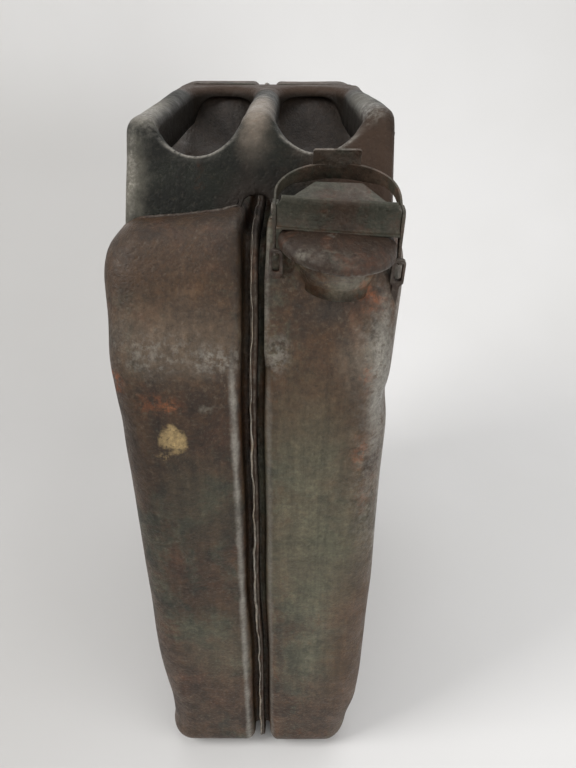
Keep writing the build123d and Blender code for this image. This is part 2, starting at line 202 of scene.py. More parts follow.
def revolve(name, profile, material, count=96, centre=(0, 0), oval=0.0, wobble=0.0,
            closed=False):
    """Turns a profile of (radius, height) about the filler axis."""
    profile = np.array(profile, float)
    angle = np.linspace(0, 2 * math.pi, count, endpoint=False)[:, None]
    radius = profile[:, 0] * (1 + oval * np.cos(2 * angle))
    points = cap_point(radius * np.cos(angle) + centre[0], radius * np.sin(angle) + centre[1],
                       profile[:, 1]).reshape(-1, 3)
    if wobble:
        points = points + waves(points, 26, 3)[:, None] * wobble * CAP_UP
    faces = grid_faces(count, len(profile), wrap_rows=True, wrap_columns=closed)
    return make(name, points, faces, material)


def smooth_poly(corners, radii, step=0.8):
    """Closed 2-D outline with rounded corners; radii is one value or one for each corner."""
    corners = [np.array(p, float) for p in corners]
    count = len(corners)
    radii = [radii] * count if np.isscalar(radii) else radii
    outline = []
    for i, here in enumerate(corners):
        before, after = corners[i - 1] - here, corners[(i + 1) % count] - here
        before_len, after_len = np.linalg.norm(before), np.linalg.norm(after)
        before, after = before / before_len, after / after_len
        angle = math.acos(max(-1, min(1, float(before @ after))))
        if angle > math.pi - 0.01:
            outline.append(here)
            continue
        cut = min(radii[i] / math.tan(angle / 2), 0.48 * before_len, 0.48 * after_len)
        for s in np.linspace(0, 1, max(3, int(cut / step) + 3)):
            outline.append((1 - s) ** 2 * (here + before * cut) + 2 * s * (1 - s) * here
                           + s * s * (here + after * cut))
    return np.array(outline)


def plate(name, outline, thick, origin, along_x, along_y, material, edge, segments=2):
    """Bevelled flat plate: an outline in a plane, thickened along along_x x along_y."""
    base = origin + outline[:, :1] * along_x + outline[:, 1:2] * along_y
    points = np.vstack([base, base + np.cross(along_x, along_y) * thick])
    n = len(outline)
    faces = [tuple(range(n - 1, -1, -1)), tuple(range(n, 2 * n))]
    faces += [(i, (i + 1) % n, n + (i + 1) % n, n + i) for i in range(n)]
    obj = make(name, points, faces, material)
    bevel(obj, edge, segments, 50)
    return obj


def side_plate(name, outline, side, outer, thick, material, edge, segments=2):
    """Plate square to x whose outer face is `outer` to one side of the filler axis."""
    start = -outer if side < 0 else outer - thick
    return plate(name, outline, thick, cap_point(start, 0, 0), CAP_BACK, CAP_UP, material,
                 edge, segments)


# ---------------------------------------------------------------- materials
class Shader:
    """A material with one Principled shader; the methods add nodes and return sockets."""

    def __init__(self, name):
        self.material = bpy.data.materials.new(name)
        self.material.use_nodes = True
        self.tree = self.material.node_tree
        self.tree.nodes.clear()
        output = self.node("OutputMaterial")
        self.bsdf = self.node("BsdfPrincipled")
        self.set(output.inputs[0], self.bsdf.outputs[0])
        self.place = self.node("TexCoord").outputs["Object"]

    def node(self, kind):
        return self.tree.nodes.new("ShaderNode" + kind)

    def set(self, socket, value):
        if isinstance(value, bpy.types.NodeSocket):
            self.tree.links.new(value, socket)
        else:
            socket.default_value = value

    def surface(self, inputs):
        for key, value in inputs.items():
            self.set(self.bsdf.inputs[key], value)

    def texture(self, kind, scale, off, stretch=(1, 1, 1)):
        mapping = self.node("Mapping")
        self.set(mapping.inputs[0], self.place)
        mapping.inputs["Location"].default_value = off
        mapping.inputs["Scale"].default_value = stretch
        tex = self.node(kind)
        tex.inputs["Scale"].default_value = scale
        self.set(tex.inputs["Vector"], mapping.outputs[0])
        return tex

    def noise(self, scale, detail=6, rough=0.6, dist=0.0, stretch=(1, 1, 1), off=(0, 0, 0)):
        tex = self.texture("TexNoise", scale, off, stretch)
        tex.inputs["Detail"].default_value = detail
        tex.inputs["Roughness"].default_value = rough
        tex.inputs["Distortion"].default_value = dist
        return tex.outputs["Fac"]

    def math(self, operation, a, b=0.0, clamp=False):
        node = self.node("Math")
        node.operation = operation
        node.use_clamp = clamp
        self.set(node.inputs[0], a)
        self.set(node.inputs[1], b)
        return node.outputs[0]

    def add(self, a, b, clamp=False):
        return self.math("ADD", a, b, clamp)

    def sub(self, a, b):
        return self.math("SUBTRACT", a, b)

    def mul(self, a, b):
        return self.math("MULTIPLY", a, b)

    def peak(self, a, b):
        """The larger of two masks; the first may be missing."""
        return b if a is None else self.math("MAXIMUM", a, b)

    def ramp(self, value, span, to=(0.0, 1.0), smooth=True):
        node = self.node("MapRange")
        node.interpolation_type = "SMOOTHSTEP" if smooth else "LINEAR"
        self.set(node.inputs["Value"], value)
        for key, number in zip(("From Min", "From Max", "To Min", "To Max"), (*span, *to)):
            node.inputs[key].default_value = number
        return node.outputs[0]

    def mix(self, factor, a, b, blend="MIX"):
        node = self.node("Mix")
        node.data_type = "RGBA"
        node.blend_type = blend
        node.clamp_factor = True
        self.set(node.inputs[0], factor)
        for socket, value in ((node.inputs[6], a), (node.inputs[7], b)):
            self.set(socket, (*value, 1.0) if isinstance(value, tuple) else value)
        return node.outputs[2]

    def vector(self, operation, a, b=None):
        node = self.node("VectorMath")
        node.operation = operation
        self.set(node.inputs[0], a)
        if b is not None:
            node.inputs[1].default_value = b
        return node.outputs

    def position(self):
        """Object coordinates as three sockets."""
        node = self.node("SeparateXYZ")
        self.set(node.inputs[0], self.place)
        return node.outputs

    def spot(self, spot):
        """Mask round a point with a ragged, possibly grainy edge."""
        x, y, z = spot.centre
        ragged, edge_scale = spot.edge
        arm = self.vector("SUBTRACT", self.place, (x * MM, FRONT + y * MM, z * MM))[0]
        arm = self.vector("MULTIPLY", arm, spot.stretch)[0]
        distance = self.vector("LENGTH", arm)["Value"]
        shift = self.sub(self.noise(scale=edge_scale, detail=5, rough=0.65, off=(0, 0, 0.3)), 0.5)
        distance = self.add(distance, self.mul(shift, ragged * 2 * spot.radius * MM))
        limits = (spot.radius * MM * (1 - spot.soft), spot.radius * MM)
        mask = self.ramp(distance, span=limits, to=(1.0, 0.0))
        if spot.grain:
            scale, low, high = spot.grain
            speckle = self.noise(scale=scale, detail=6, rough=0.7, off=(spot.radius, 0, 1))
            mask = self.mul(mask, self.ramp(speckle, span=(low, high)))
        return self.mul(mask, spot.amount)

    def bump(self, height, distance, strength, normal=None):
        node = self.node("Bump")
        node.inputs["Strength"].default_value = strength
        node.inputs["Distance"].default_value = distance
        self.set(node.inputs["Height"], height)
        if normal is not None:
            self.set(node.inputs["Normal"], normal)
        return node.outputs[0]


# Linear colours
RUST = (0.057, 0.0295, 0.0130)
RUST_DARK = (0.024, 0.014, 0.009)
RUST_WARM = (0.100, 0.040, 0.020)
ORANGE = (0.20, 0.065, 0.024)
GREEN = (0.086, 0.082, 0.052)
GREEN_DARK = (0.030, 0.031, 0.022)
BARE = (0.30, 0.285, 0.25)
BARE_DULL = (0.20, 0.185, 0.165)
TAN = (0.42, 0.30, 0.14)
PALE_AND_HIGHLIGHT = (0.20, 0.185, 0.15)
WARM = (0.25, 0.205, 0.165)
PAINTED_SHADE_TONE = (0.017, 0.012, 0.009)
SHADE = (0.42, 0.42, 0.40)
PALE_SPECK = (0.17, 0.145, 0.11)
DUST = (0.26, 0.22, 0.16)
UNDER_SHEET_SHADE = (0.010, 0.008, 0.006)


def base_colour(mat, mid, fine, seed, green, rust, paint, paint_dark, warm, speckle, runs):
    """Paint remains against rust, then pale and deep brown speckle."""
    big = mat.noise(scale=11, detail=5, rough=0.62, dist=0.6, off=(seed, seed * 0.7, seed * 1.3))
    drip = mat.noise(scale=34, detail=6, rough=0.6, dist=0.3, off=(seed, 3, seed),
                     stretch=(1.0, 1.0, 0.16 if runs else 0.8))
    small = mat.noise(scale=260, detail=6, rough=0.75, off=(seed, 3, 3))
    cover = mat.add(mat.mul(big, 0.52), mat.mul(mid, 0.26))
    cover = mat.add(cover, mat.mul(drip, 0.14))
    cover = mat.add(cover, mat.mul(small, 0.20))
    cover = mat.ramp(cover, span=(0.68 - 0.26 * green, 0.77 - 0.26 * green))
    rusty = mat.mix(mat.ramp(mid, span=(0.35, 0.7)), rust, RUST_DARK)
    blush = mat.noise(scale=26, detail=7, rough=0.7, dist=0.8, off=(5, seed, 2))
    rusty = mat.mix(mat.mul(mat.ramp(blush, span=(0.5, 0.68)), warm), rusty, RUST_WARM)
    col = mat.mix(cover, rusty, mat.mix(mat.ramp(mid, span=(0.4, 0.65)), paint, paint_dark))
    col = mat.mix(mat.ramp(fine, span=(0.52, 0.72), to=(0.0, 0.35 * speckle)), col, RUST_DARK)
    col = mat.mix(mat.ramp(fine, span=(0.50, 0.30), to=(0.0, 0.30 * speckle)), col, PALE_SPECK)
    dust = mat.noise(scale=620, detail=4, rough=0.8, off=(seed, 8, 8))
    dust = mat.ramp(dust, span=(0.66, 0.72), to=(0.0, 0.75 * speckle))
    where = mat.noise(scale=20, detail=4, rough=0.6, off=(seed, 1, 5))
    return mat.mix(mat.mul(dust, mat.ramp(where, span=(0.42, 0.62))), col, DUST)


def cloudy(mat, col, seed, speckle, runs):
    """Multiplies the colour by cloudy, speckled and run-down variation."""
    def vary(noise, span, down, up):
        return mat.ramp(noise, span, to=(1 - down * speckle, 1 + up * speckle), smooth=False)

    cloud = vary(mat.noise(scale=30, detail=7, rough=0.75, dist=0.8, off=(seed + 7, 3, 1)),
                 span=(0.32, 0.68), down=0.29, up=0.27)
    speck = vary(mat.noise(scale=230, detail=7, rough=0.85, off=(seed, 6, 3)),
                 span=(0.34, 0.66), down=0.42, up=0.44)
    run = vary(mat.noise(scale=210, detail=5, rough=0.7, dist=0.3, off=(seed, 2, 5),
                         stretch=(1.0, 1.0, 0.07 if runs else 1.0)),
               span=(0.36, 0.64), down=0.18, up=0.18)
    level = mat.mul(mat.mul(cloud, speck), run)
    grey = mat.node("CombineXYZ")
    for i in range(3):
        mat.set(grey.inputs[i], level)
    return mat.mix(1.0, col, grey.outputs[0], "MULTIPLY")


def under_sheet_shade_mask(mat):
    """Painted shade on the inner surface just under the top sheet of the handle."""
    x, y, z = mat.position()
    mask = mat.mul(mat.ramp(z, span=(0.5165, 0.5095)),
                   mat.ramp(y, span=(FRONT + 0.088, FRONT + 0.102)))
    mask = mat.mul(mask, mat.ramp(mat.math("ABSOLUTE", x), span=(0.0685, 0.0645)))
    return mat.mul(mask, 0.93)


def highlight_streak_mask(mat, centre, width, amount, top):
    """A painted highlight along an upright line up the front wall at x = centre, fading out
    towards top, laid on as bare metal.
    """
    x, y, z = mat.position()
    off_line = mat.math("ABSOLUTE", mat.sub(x, centre * MM))
    drift = mat.sub(mat.noise(scale=70, detail=4, rough=0.6), 0.5)
    off_line = mat.add(off_line, mat.mul(drift, 0.004))
    mask = mat.ramp(off_line, span=(width * MM, 0.0), to=(0.0, amount))
    mask = mat.mul(mask, mat.ramp(z, span=(top * MM, (top - 30) * MM)))
    mask = mat.mul(mask, mat.ramp(y, span=(FRONT + 0.016, FRONT + 0.008)))
    patchy = mat.noise(scale=60, detail=6, rough=0.7, stretch=(1, 1, 0.4))
    return mat.mul(mask, mat.ramp(patchy, span=(0.30, 0.55), to=(0.35, 1.0)))


def relief(mat, mid, fine, seed):
    """Bump from broad unevenness down to grain, with pits between."""
    offset = (seed, seed * 0.7, seed * 1.3)
    pit = mat.texture("TexVoronoi", scale=330, off=offset).outputs["Distance"]
    pit = mat.mul(mat.ramp(pit, span=(0.10, 0.42)), mat.ramp(mid, span=(0.30, 0.62)))
    grain = mat.noise(scale=1500, detail=3, rough=0.6, off=offset)
    normal = mat.bump(mid, distance=0.0012, strength=0.55)
    normal = mat.bump(fine, distance=0.00055, strength=0.7, normal=normal)
    normal = mat.bump(pit, distance=0.00035, strength=0.6, normal=normal)
    return mat.bump(grain, distance=0.00012, strength=0.7, normal=normal)


def old_steel(name, seed, green, rust=RUST, paint=GREEN, paint_dark=GREEN_DARK, wear=0.5,
              orange=0.4, warm=0.4, rough=0.47, edges=(0.515, 0.56), spec=0.34, speckle=1.0,
              highlight_streak=None, wear_attribute=None, shade_under_sheet=False, spots=()):
    """Dark rusted steel with remains of paint, bare places of wear and fine pitting; some spots
    and masks paint shade and highlights into the colour.

    green sets how much paint is left, edges the pointiness range that wears bare.
    """
    mat = Shader(name)
    runs = speckle > 0.5          # drawn-out vertical marks
    mid = mat.noise(scale=48, detail=8, rough=0.68, dist=0.4, off=(seed + 2, seed, 1))
    fine = mat.noise(scale=420, detail=6, rough=0.7, off=(seed, seed * 0.7, seed * 1.3))
    col = base_colour(mat, mid, fine, seed, green, rust, paint, paint_dark, warm, speckle, runs)

    bloom = mat.noise(scale=17, detail=7, rough=0.72, dist=1.0, off=(seed, 9, 4))
    bloom = mat.mul(mat.ramp(bloom, span=(0.60, 0.74)), mat.ramp(fine, span=(0.42, 0.62)))
    bloom = mat.mul(bloom, orange)
    worn_and_highlight = painted_shade = None
    # Light spots are mostly painted highlights; a few are pale marks.
    tones = {"tan": TAN, "green": paint, "painted_shade": PAINTED_SHADE_TONE, "rust": rust, "warm": WARM,
             "light": PALE_AND_HIGHLIGHT}
    for spot in spots:
        mask = mat.spot(spot)
        if spot.kind in tones:
            col = mat.mix(mask, col, tones[spot.kind])
        # Dark spots are painted shade: they darken the colour and keep bare metal off it.
        if spot.kind == "painted_shade":
            painted_shade = mat.peak(painted_shade, mask)
        elif spot.kind == "bare":
            worn_and_highlight = mat.peak(worn_and_highlight, mask)
        elif spot.kind == "orange":
            bloom = mat.peak(bloom, mask)
        elif spot.kind == "shade":
            col = mat.mix(mask, col, mat.mix(1.0, col, SHADE, "MULTIPLY"))
    col = mat.mix(bloom, col, ORANGE)
    # Painted shade under the handle's top sheet.
    if shade_under_sheet:
        mask = under_sheet_shade_mask(mat)
        painted_shade = mat.peak(painted_shade, mask)
        col = mat.mix(mask, col, UNDER_SHEET_SHADE)
    col = cloudy(mat, col, seed, speckle, runs)
    # Painted highlight streak, laid on as bare metal.
    if highlight_streak:
        worn_and_highlight = mat.peak(worn_and_highlight, highlight_streak_mask(mat, **highlight_streak))

    # Bare metal on sharp edges, in places of wear, along scratches and along painted highlight
    # streaks, but not where shade is painted
    edge = mat.ramp(mat.node("NewGeometry").outputs["Pointiness"], span=edges)
    patchy = mat.noise(scale=130, detail=6, rough=0.7, off=(seed, 1, 8))
    edge = mat.mul(mat.mul(edge, mat.ramp(patchy, span=(0.36, 0.60))), wear)
    worn_and_highlight = edge if worn_and_highlight is None else mat.peak(edge, worn_and_highlight)
    if wear_attribute:
        attribute = mat.node("Attribute")
        attribute.attribute_name = wear_attribute
        patchy = mat.noise(scale=200, detail=6, rough=0.7, off=(seed, 4, 8))
        marked = mat.mul(attribute.outputs["Fac"], mat.ramp(patchy, span=(0.30, 0.56)))
        worn_and_highlight = mat.peak(worn_and_highlight, mat.mul(marked, 0.9))
    scratch = mat.noise(scale=90, detail=8, rough=0.8, dist=1.5, off=(seed + 4, 2, 2))
    worn_and_highlight = mat.peak(worn_and_highlight, mat.ramp(scratch, span=(0.66, 0.74), to=(0, 0.5 * wear)))
    if painted_shade is not None:
        worn_and_highlight = mat.mul(worn_and_highlight, mat.sub(1.0, painted_shade))
    col = mat.mix(worn_and_highlight, col, mat.mix(mat.ramp(fine, span=(0.35, 0.65)), BARE, BARE_DULL))

    gloss = mat.add(mat.ramp(mid, span=(0.3, 0.7), to=(rough - 0.08, rough + 0.14)),
                    mat.mul(mat.sub(fine, 0.5), 0.35))
    gloss = mat.sub(gloss, mat.mul(worn_and_highlight, 0.14))
    mat.surface({
        "Base Color": col,
        "Roughness": mat.add(gloss, mat.mul(bloom, 0.2), clamp=True),
        "Metallic": mat.mul(worn_and_highlight, 0.75),
        "Specular IOR Level": spec,
        "Normal": relief(mat, mid, fine, seed),
    })
    return mat.material


def rubber(name):
    mat = Shader(name)
    fine = mat.noise(scale=300, detail=5, rough=0.6)
    col = mat.mix(mat.ramp(fine, span=(0.4, 0.7)), (0.018, 0.017, 0.016), (0.045, 0.038, 0.032))
    mat.surface({
        "Base Color": col,
        "Roughness": mat.ramp(fine, span=(0.3, 0.7), to=(0.65, 0.9)),
        "Normal": mat.bump(fine, distance=0.0003, strength=0.5),
    })
    return mat.material


# Local marks, painted shade and painted highlights among them. Columns: kind, centre (x, y, z),
# radius, stretch by axis (larger is narrower), softness of the rim, amount, grain (noise scale,
# low, high) or SOLID, edge (raggedness, scale).
EVEN = (1, 1, 1)
SOLID = None
GRAIN = (240, 0.42, 0.60)
EDGE = (0.4, 90.0)
Spot = namedtuple("Spot", "kind centre radius stretch soft amount grain edge",
                  defaults=(GRAIN, EDGE))
BODY_SPOTS = [Spot(*row) for row in (
    ("bare", (-52, 0, 405), 34, (0.75, 1, 1.9), 0.9, 0.40, (240, 0.45, 0.64)),
    ("bare", (-20, 2, 402), 18, (0.8, 1, 1.5), 0.9, 0.60, (240, 0.42, 0.62)),
    # Painted sheen along the bend on the left.
    ("light", (-45, 4, 412), 46, (0.7, 1, 1.3), 0.9, 0.28, SOLID),
    ("tan", (-47.5, 0, 349), 9.5, (1, 1, 0.8), 0.5, 0.92, (420, 0.30, 0.48), (0.9, 110)),
    ("tan", (-54, 0, 338), 7, (1, 1, 1.2), 0.8, 0.5, (420, 0.5, 0.6), (0.9, 110)),
    ("orange", (-54, 0, 374), 15, (0.8, 1, 1.6), 0.8, 0.55, GRAIN, (0.7, 90)),
    ("light", (-26, 0, 371), 6, (0.8, 1, 1.3), 0.8, 0.5, GRAIN, (0.7, 90)),
    ("shade", (-40, 0, 318), 120, EVEN, 0.8, 0.6, SOLID),
    ("shade", (-40, 0, 200), 110, EVEN, 0.9, 0.35, SOLID),
    ("shade", (-45, 40, 462), 52, EVEN, 0.9, 0.6, SOLID),
    ("shade", (-9, 26, 452), 54, (3.0, 1, 0.8), 0.9, 0.8, SOLID),
    ("shade", (-70, 20, 445), 44, (1.6, 1, 0.8), 0.9, 0.35, SOLID),
    ("shade", (30, 4, 415), 40, EVEN, 0.9, 0.35, SOLID),
    ("rust", (35, 0, 372), 60, EVEN, 0.8, 0.8, SOLID),
    ("rust", (-45, 10, 440), 60, EVEN, 0.8, 0.5, SOLID),
    ("green", (42, 0, 250), 85, (1.3, 1, 0.8), 0.8, 0.75, SOLID),
    ("green", (34, 0, 335), 60, (1.4, 1, 0.8), 0.9, 0.60, SOLID),
    ("green", (-34, 0, 300), 46, (1.2, 1, 0.8), 0.9, 0.28, SOLID),
    ("shade", (-38, 0, 290), 60, EVEN, 0.9, 0.35, SOLID),
    ("green", (-30, 0, 150), 50, (1.2, 1, 0.8), 0.9, 0.35, SOLID),
    ("bare", (14, 2, 406), 15, (1.4, 1, 0.8), 0.9, 0.5, (240, 0.40, 0.60)),
    ("green", (40, 0, 130), 60, (1.3, 1, 0.8), 0.9, 0.45, SOLID),
    ("bare", (78, 6, 350), 80, (3.4, 1, 0.5), 0.9, 0.4, (240, 0.40, 0.6)),
    ("orange", (67, 0, 392), 9, (1, 1, 0.6), 0.9, 0.45, GRAIN, (0.8, 90)),
    ("orange", (64, 0, 340), 9, (1, 1, 0.5), 0.9, 0.50, GRAIN, (0.8, 90)),
    ("orange", (70, 0, 300), 8, (1, 1, 0.4), 0.9, 0.35, GRAIN, (0.8, 90)),
    # Painted highlight along the right rim, laid on as bare metal.
    ("bare", (82.5, 12, 340), 64, (9.0, 1, 0.4), 0.7, 0.7, (240, 0.30, 0.55)),
    # Painted shade at the top of the groove.
    ("painted_shade", (9, 22, 442), 38, (3.4, 1, 0.8), 0.9, 0.45, SOLID),
    ("rust", (78, 4, 150), 90, (2.2, 1, 0.6), 0.8, 0.9, SOLID),
    ("orange", (-80, 6, 385), 11, EVEN, 0.6, 0.9),
    ("orange", (66, 8, 437), 11, (1, 1, 0.8), 0.8, 0.7),
    ("bare", (74, 3, 384), 36, (3.2, 1, 0.5), 0.8, 1.0, (240, 0.30, 0.50)),
    ("bare", (72, 6, 412), 26, (1.6, 1, 0.8), 0.9, 0.6, (240, 0.42, 0.62)),
    ("light", (66, 0, 405), 30, (1.2, 1, 0.8), 0.9, 0.30, SOLID),
    ("bare", (80, 10, 330), 22, (2.2, 1, 0.6), 0.8, 0.5),
    ("bare", (-83, 14, 442), 16, (2.0, 1, 0.7), 0.8, 0.4),
    # Painted shadow under the cap, left of the neck and below its disc, then painted highlight on
    # the lower right of the neck's base.
    ("painted_shade", (26, 4, 447), 19, EVEN, 0.9, 0.55, SOLID),
    ("painted_shade", (47, -2, 456), 20, (0.7, 1, 1.4), 0.8, 0.5, SOLID),
    ("light", (56, -2, 443), 16, EVEN, 0.9, 0.5, SOLID),
    ("light", (45, -2, 436), 24, EVEN, 0.9, 0.25, SOLID),
    ("orange", (66, 10, 434), 12, (0.8, 1, 1), 0.9, 0.8, (240, 0.46, 0.6), (0.7, 90)),
    # Painted shade on the surfaces seen through the handle's openings.
    ("painted_shade", (-35, 236, 480), 85, (0.7, 1, 1), 0.6, 0.92, SOLID),
    ("painted_shade", (35, 236, 480), 85, (0.7, 1, 1), 0.6, 0.92, SOLID),
)]
HANDLE_SPOTS = [Spot(*row) for row in (
    # Painted sheen on the handle's left edge.
    ("light", (-77, 66, 484), 40, (1.9, 1, 0.75), 1.0, 0.62, SOLID),
    ("bare", (-76, 70, 488), 30, (2.6, 1, 0.8), 0.9, 0.7, (480, 0.42, 0.60)),
    ("bare", (-66, 112, 518), 42, (2.2, 0.7, 2.2), 0.9, 1.0, (330, 0.30, 0.54)),
    # Painted highlight on the left grip.
    ("light", (-67, 122, 519), 62, (3.6, 0.8, 3.6), 0.9, 0.8, SOLID),
    ("bare", (66, 108, 518), 30, (2.0, 0.7, 3.0), 0.8, 0.6),
    # Painted highlight on the right grip.
    ("light", (68, 150, 519), 70, (5.0, 0.7, 5.0), 0.9, 0.35, SOLID),
    ("bare", (0, 140, 518), 60, (6.0, 0.6, 4.0), 0.9, 0.5, (240, 0.40, 0.60)),
    ("warm", (0, 122, 518), 56, (3.6, 0.7, 2.4), 0.9, 0.85, SOLID),
    ("warm", (0, 84, 506), 24, (1.6, 0.7, 1.0), 1.0, 0.30, SOLID),
    ("rust", (70, 76, 490), 60, EVEN, 0.8, 0.9, SOLID),
    ("rust", (0, 262, 516), 95, (0.6, 2.2, 1), 0.5, 0.95, SOLID),
    # Painted shade in the arch over the seam groove.
    ("painted_shade", (0, 58, 470), 26, (1.0, 1, 0.8), 0.6, 0.9, SOLID),
)]
# Painted shade where the seam groove runs under the handle.
FLANGE_SPOTS = [Spot("painted_shade", (0, 44, 462), 20, EVEN, 0.8, 0.85, SOLID)]
NECK_SPOTS = [
    # Painted highlight on the right of the neck, painted shade on its left under the cap.
    Spot("light", (52, 0, 446), 17, EVEN, 1.0, 0.45, SOLID),
    Spot("painted_shade", (26, 4, 452), 16, EVEN, 0.9, 0.6, SOLID),
    Spot("orange", (62, 12, 440), 12, EVEN, 0.7, 0.6),
]
CAP_SPOTS = [
    # Painted highlights on the left of the cap.
    Spot("light", (40, -6, 466), 16, (0.5, 1, 2), 0.9, 0.22),
    Spot("light", (24, -2, 465), 7, (0.6, 1, 1), 0.9, 0.6),
]

# Marks within 8 mm of the seam reach both halves
# Each half gets a painted highlight streak along the rounded edge of its seam groove.
steel_left = old_steel(
    "painted_steel_left", seed=1.0, green=0.42, orange=0.35, wear=0.45,
    highlight_streak=dict(centre=-11.2, width=3.2, amount=0.8, top=412),
    spots=[s for s in BODY_SPOTS if s.centre[0] < 8])
steel_right = old_steel(
    "painted_steel_right", seed=4.3, green=0.50, orange=0.45, wear=0.5,
    highlight_streak=dict(centre=9.0, width=3.0, amount=0.35, top=405),
    spots=[s for s in BODY_SPOTS if s.centre[0] > -8])
steel_handle = old_steel(
    "painted_steel_handle", seed=7.7, green=1.22, paint=(0.0075, 0.0085, 0.0058),
    paint_dark=(0.004, 0.0042, 0.003), rust=(0.044, 0.026, 0.017), spec=0.16,
    wear_attribute="wear", speckle=0.28, shade_under_sheet=True, orange=0.25, wear=0.6, rough=0.44,
    edges=(0.57, 0.66), spots=HANDLE_SPOTS)
steel_weld = old_steel(
    "weld_bead", seed=2.2, green=0.0, rust=(0.30, 0.24, 0.17), wear=0.9, orange=0.4, rough=0.5,
    edges=(0.505, 0.54), warm=0.2)
steel_foot = old_steel(
    "foot_weld_steel", seed=2.9, green=0.6, paint=(0.022, 0.022, 0.017),
    rust=(0.030, 0.018, 0.012), wear=0.2, orange=0.2, rough=0.6)
steel_flange = old_steel(
    "seam_flange_steel", seed=5.2, green=0.2, rust=(0.026, 0.017, 0.011), wear=0.2,
    paint=(0.020, 0.018, 0.013), spec=0.15, orange=0.35, rough=0.6, spots=FLANGE_SPOTS)
steel_neck = old_steel(
    "neck_steel", seed=3.1, green=0.9, orange=0.3, wear=0.25, paint=(0.088, 0.076, 0.052),
    spots=NECK_SPOTS)
steel_cap = old_steel(
    "closure_steel", seed=9.4, green=0.28, speckle=0.6, orange=0.10, wear=0.4, warm=0.6,
    rust=(0.031, 0.019, 0.013), paint=(0.027, 0.024, 0.018), spec=0.25, spots=CAP_SPOTS)
steel_yoke = old_steel(
    "yoke_steel", seed=6.4, green=0.8, speckle=0.55, orange=0.3, wear=0.35, warm=0.5,
    paint=(0.048, 0.044, 0.032), rust=(0.043, 0.029, 0.020), edges=(0.53, 0.60), spec=0.26)
steel_lever = old_steel(
    "lever_steel", seed=8.6, green=0.5, speckle=0.6, orange=0.25, wear=0.6,
    rust=(0.072, 0.050, 0.036), paint=(0.062, 0.055, 0.040), edges=(0.53, 0.59))
steel_pin = old_steel(
    "rivet_steel", seed=2.9, green=0.0, rust=(0.10, 0.08, 0.068), orange=0.3, wear=0.9,
    rough=0.45)
old_rubber = rubber("old_rubber")


# ------------------------------------------------------- rounded side outlines
def turned(vector, angle):
    c, s = math.cos(angle), math.sin(angle)
    return np.array([vector[0] * c - vector[1] * s, vector[0] * s + vector[1] * c])


def corner(before, here, after, radius):
    """Directions into and out of a corner, its signed turn, and the leg its rounding uses."""
    into = (here - before) / np.linalg.norm(here - before)
    out = (after - here) / np.linalg.norm(after - here)
    turn = math.atan2(into[0] * out[1] - into[1] * out[0], float(into @ out))
    return into, out, turn, radius * math.tan(abs(turn) / 2)


def arc(here, into, turn, cut, radius, count):
    """Points along the rounding of a corner, count steps long."""
    start = here - into * cut
    centre = start + np.array([-into[1], into[0]]) * math.copysign(radius, turn)
    return [centre + turned(start - centre, turn * j / count) for j in range(count + 1)]


# Side outline of the body, up the front and down the rear: y, z, corner radius
OUTLINE = np.array([
    (0, 0, 26), (0, 397, 60), (26.67, 463, 34), (236, 463, 30),
    (271, 519, 24), (345, 519, 40), (345, 0, 28),
], float)


def sample_outline(coarse, fine):
    """Points and inward normals of the rounded outline, fine round the front shoulder."""
    count = len(OUTLINE)
    corners = [corner(OUTLINE[i - 1, :2], OUTLINE[i, :2], OUTLINE[(i + 1) % count, :2],
                      OUTLINE[i, 2]) for i in range(count)]
    points, headings = [], []
    for i, (into, out, turn, cut) in enumerate(corners):
        here, radius = OUTLINE[i, :2], OUTLINE[i, 2]
        steps = max(6, int(abs(turn) * radius / (fine if i in (1, 2) else 2.6)))
        points += arc(here, into, turn, cut, radius, steps)
        headings += [turned(into, turn * j / steps) for j in range(steps + 1)]
        after = (i + 1) % count
        start = here + out * cut
        end = OUTLINE[after, :2] - corners[after][0] * corners[after][3]
        length = float((end - start) @ out)
        steps = max(1, int(length / {1: fine, 2: 3.0}.get(i, coarse)))
        points += [start + out * (length * j / steps) for j in range(1, steps)]
        headings += [out] * (steps - 1)
    headings = np.array(headings)
    return np.array(points), np.column_stack([headings[:, 1], -headings[:, 0]])


RIM, RIM_IN = sample_outline(coarse=3.6, fine=1.2)
SEAM, SEAM_IN = sample_outline(coarse=1.5, fine=0.8)
by_neck = (SEAM[:, 0] < 200) & (SEAM[:, 1] > 290)
SHOULDER, SHOULDER_IN = SEAM[by_neck][::2], SEAM_IN[by_neck][::2]


# --------------------------------------------------------------- body halves
def rounded_distance(first, second, radius):
    """Distance to a rounded edge, from the distances past its two inset faces."""
    return (np.hypot(np.maximum(first, 0), np.maximum(second, 0))
            + np.minimum(np.maximum(first, second), 0) - radius)


def outline_distance(points):
    """Signed distance to the outline round the front shoulder, negative inside."""
    offset = points[:, None, 1:] - SHOULDER[None]
    squared = (offset ** 2).sum(2)
    nearest = squared.argmin(1)
    each = np.arange(len(nearest))
    squared = squared[each, nearest]
    out = -(offset[each, nearest] * SHOULDER_IN[nearest]).sum(1)
    along = np.sqrt(np.maximum(squared - out ** 2, 0))
    return np.where(along < 2.5, out, np.sign(out) * np.sqrt(squared))


def body_distance(points):
    return rounded_distance(np.abs(points[:, 0]) - (HALF - EDGE_ROUND),
                            outline_distance(points) + EDGE_ROUND, EDGE_ROUND)


def neck_distance(points, radius=21.0, top=-6.0, bottom=-25.0, rounding=14.0):
    """Signed distance to a cylinder with a well-rounded lower end."""
    x, back, up = to_cap(points)
    side = rounded_distance(np.hypot(x, back) - (radius - rounding), (bottom + rounding) - up,
                            rounding)
    return np.maximum(side, up - top)


def groove_wander(points):
    z = points[:, 2]
    return 0.7 * np.sin(z / 61.0 + 0.6) + 0.45 * np.sin(z / 23.0 + 1.9)


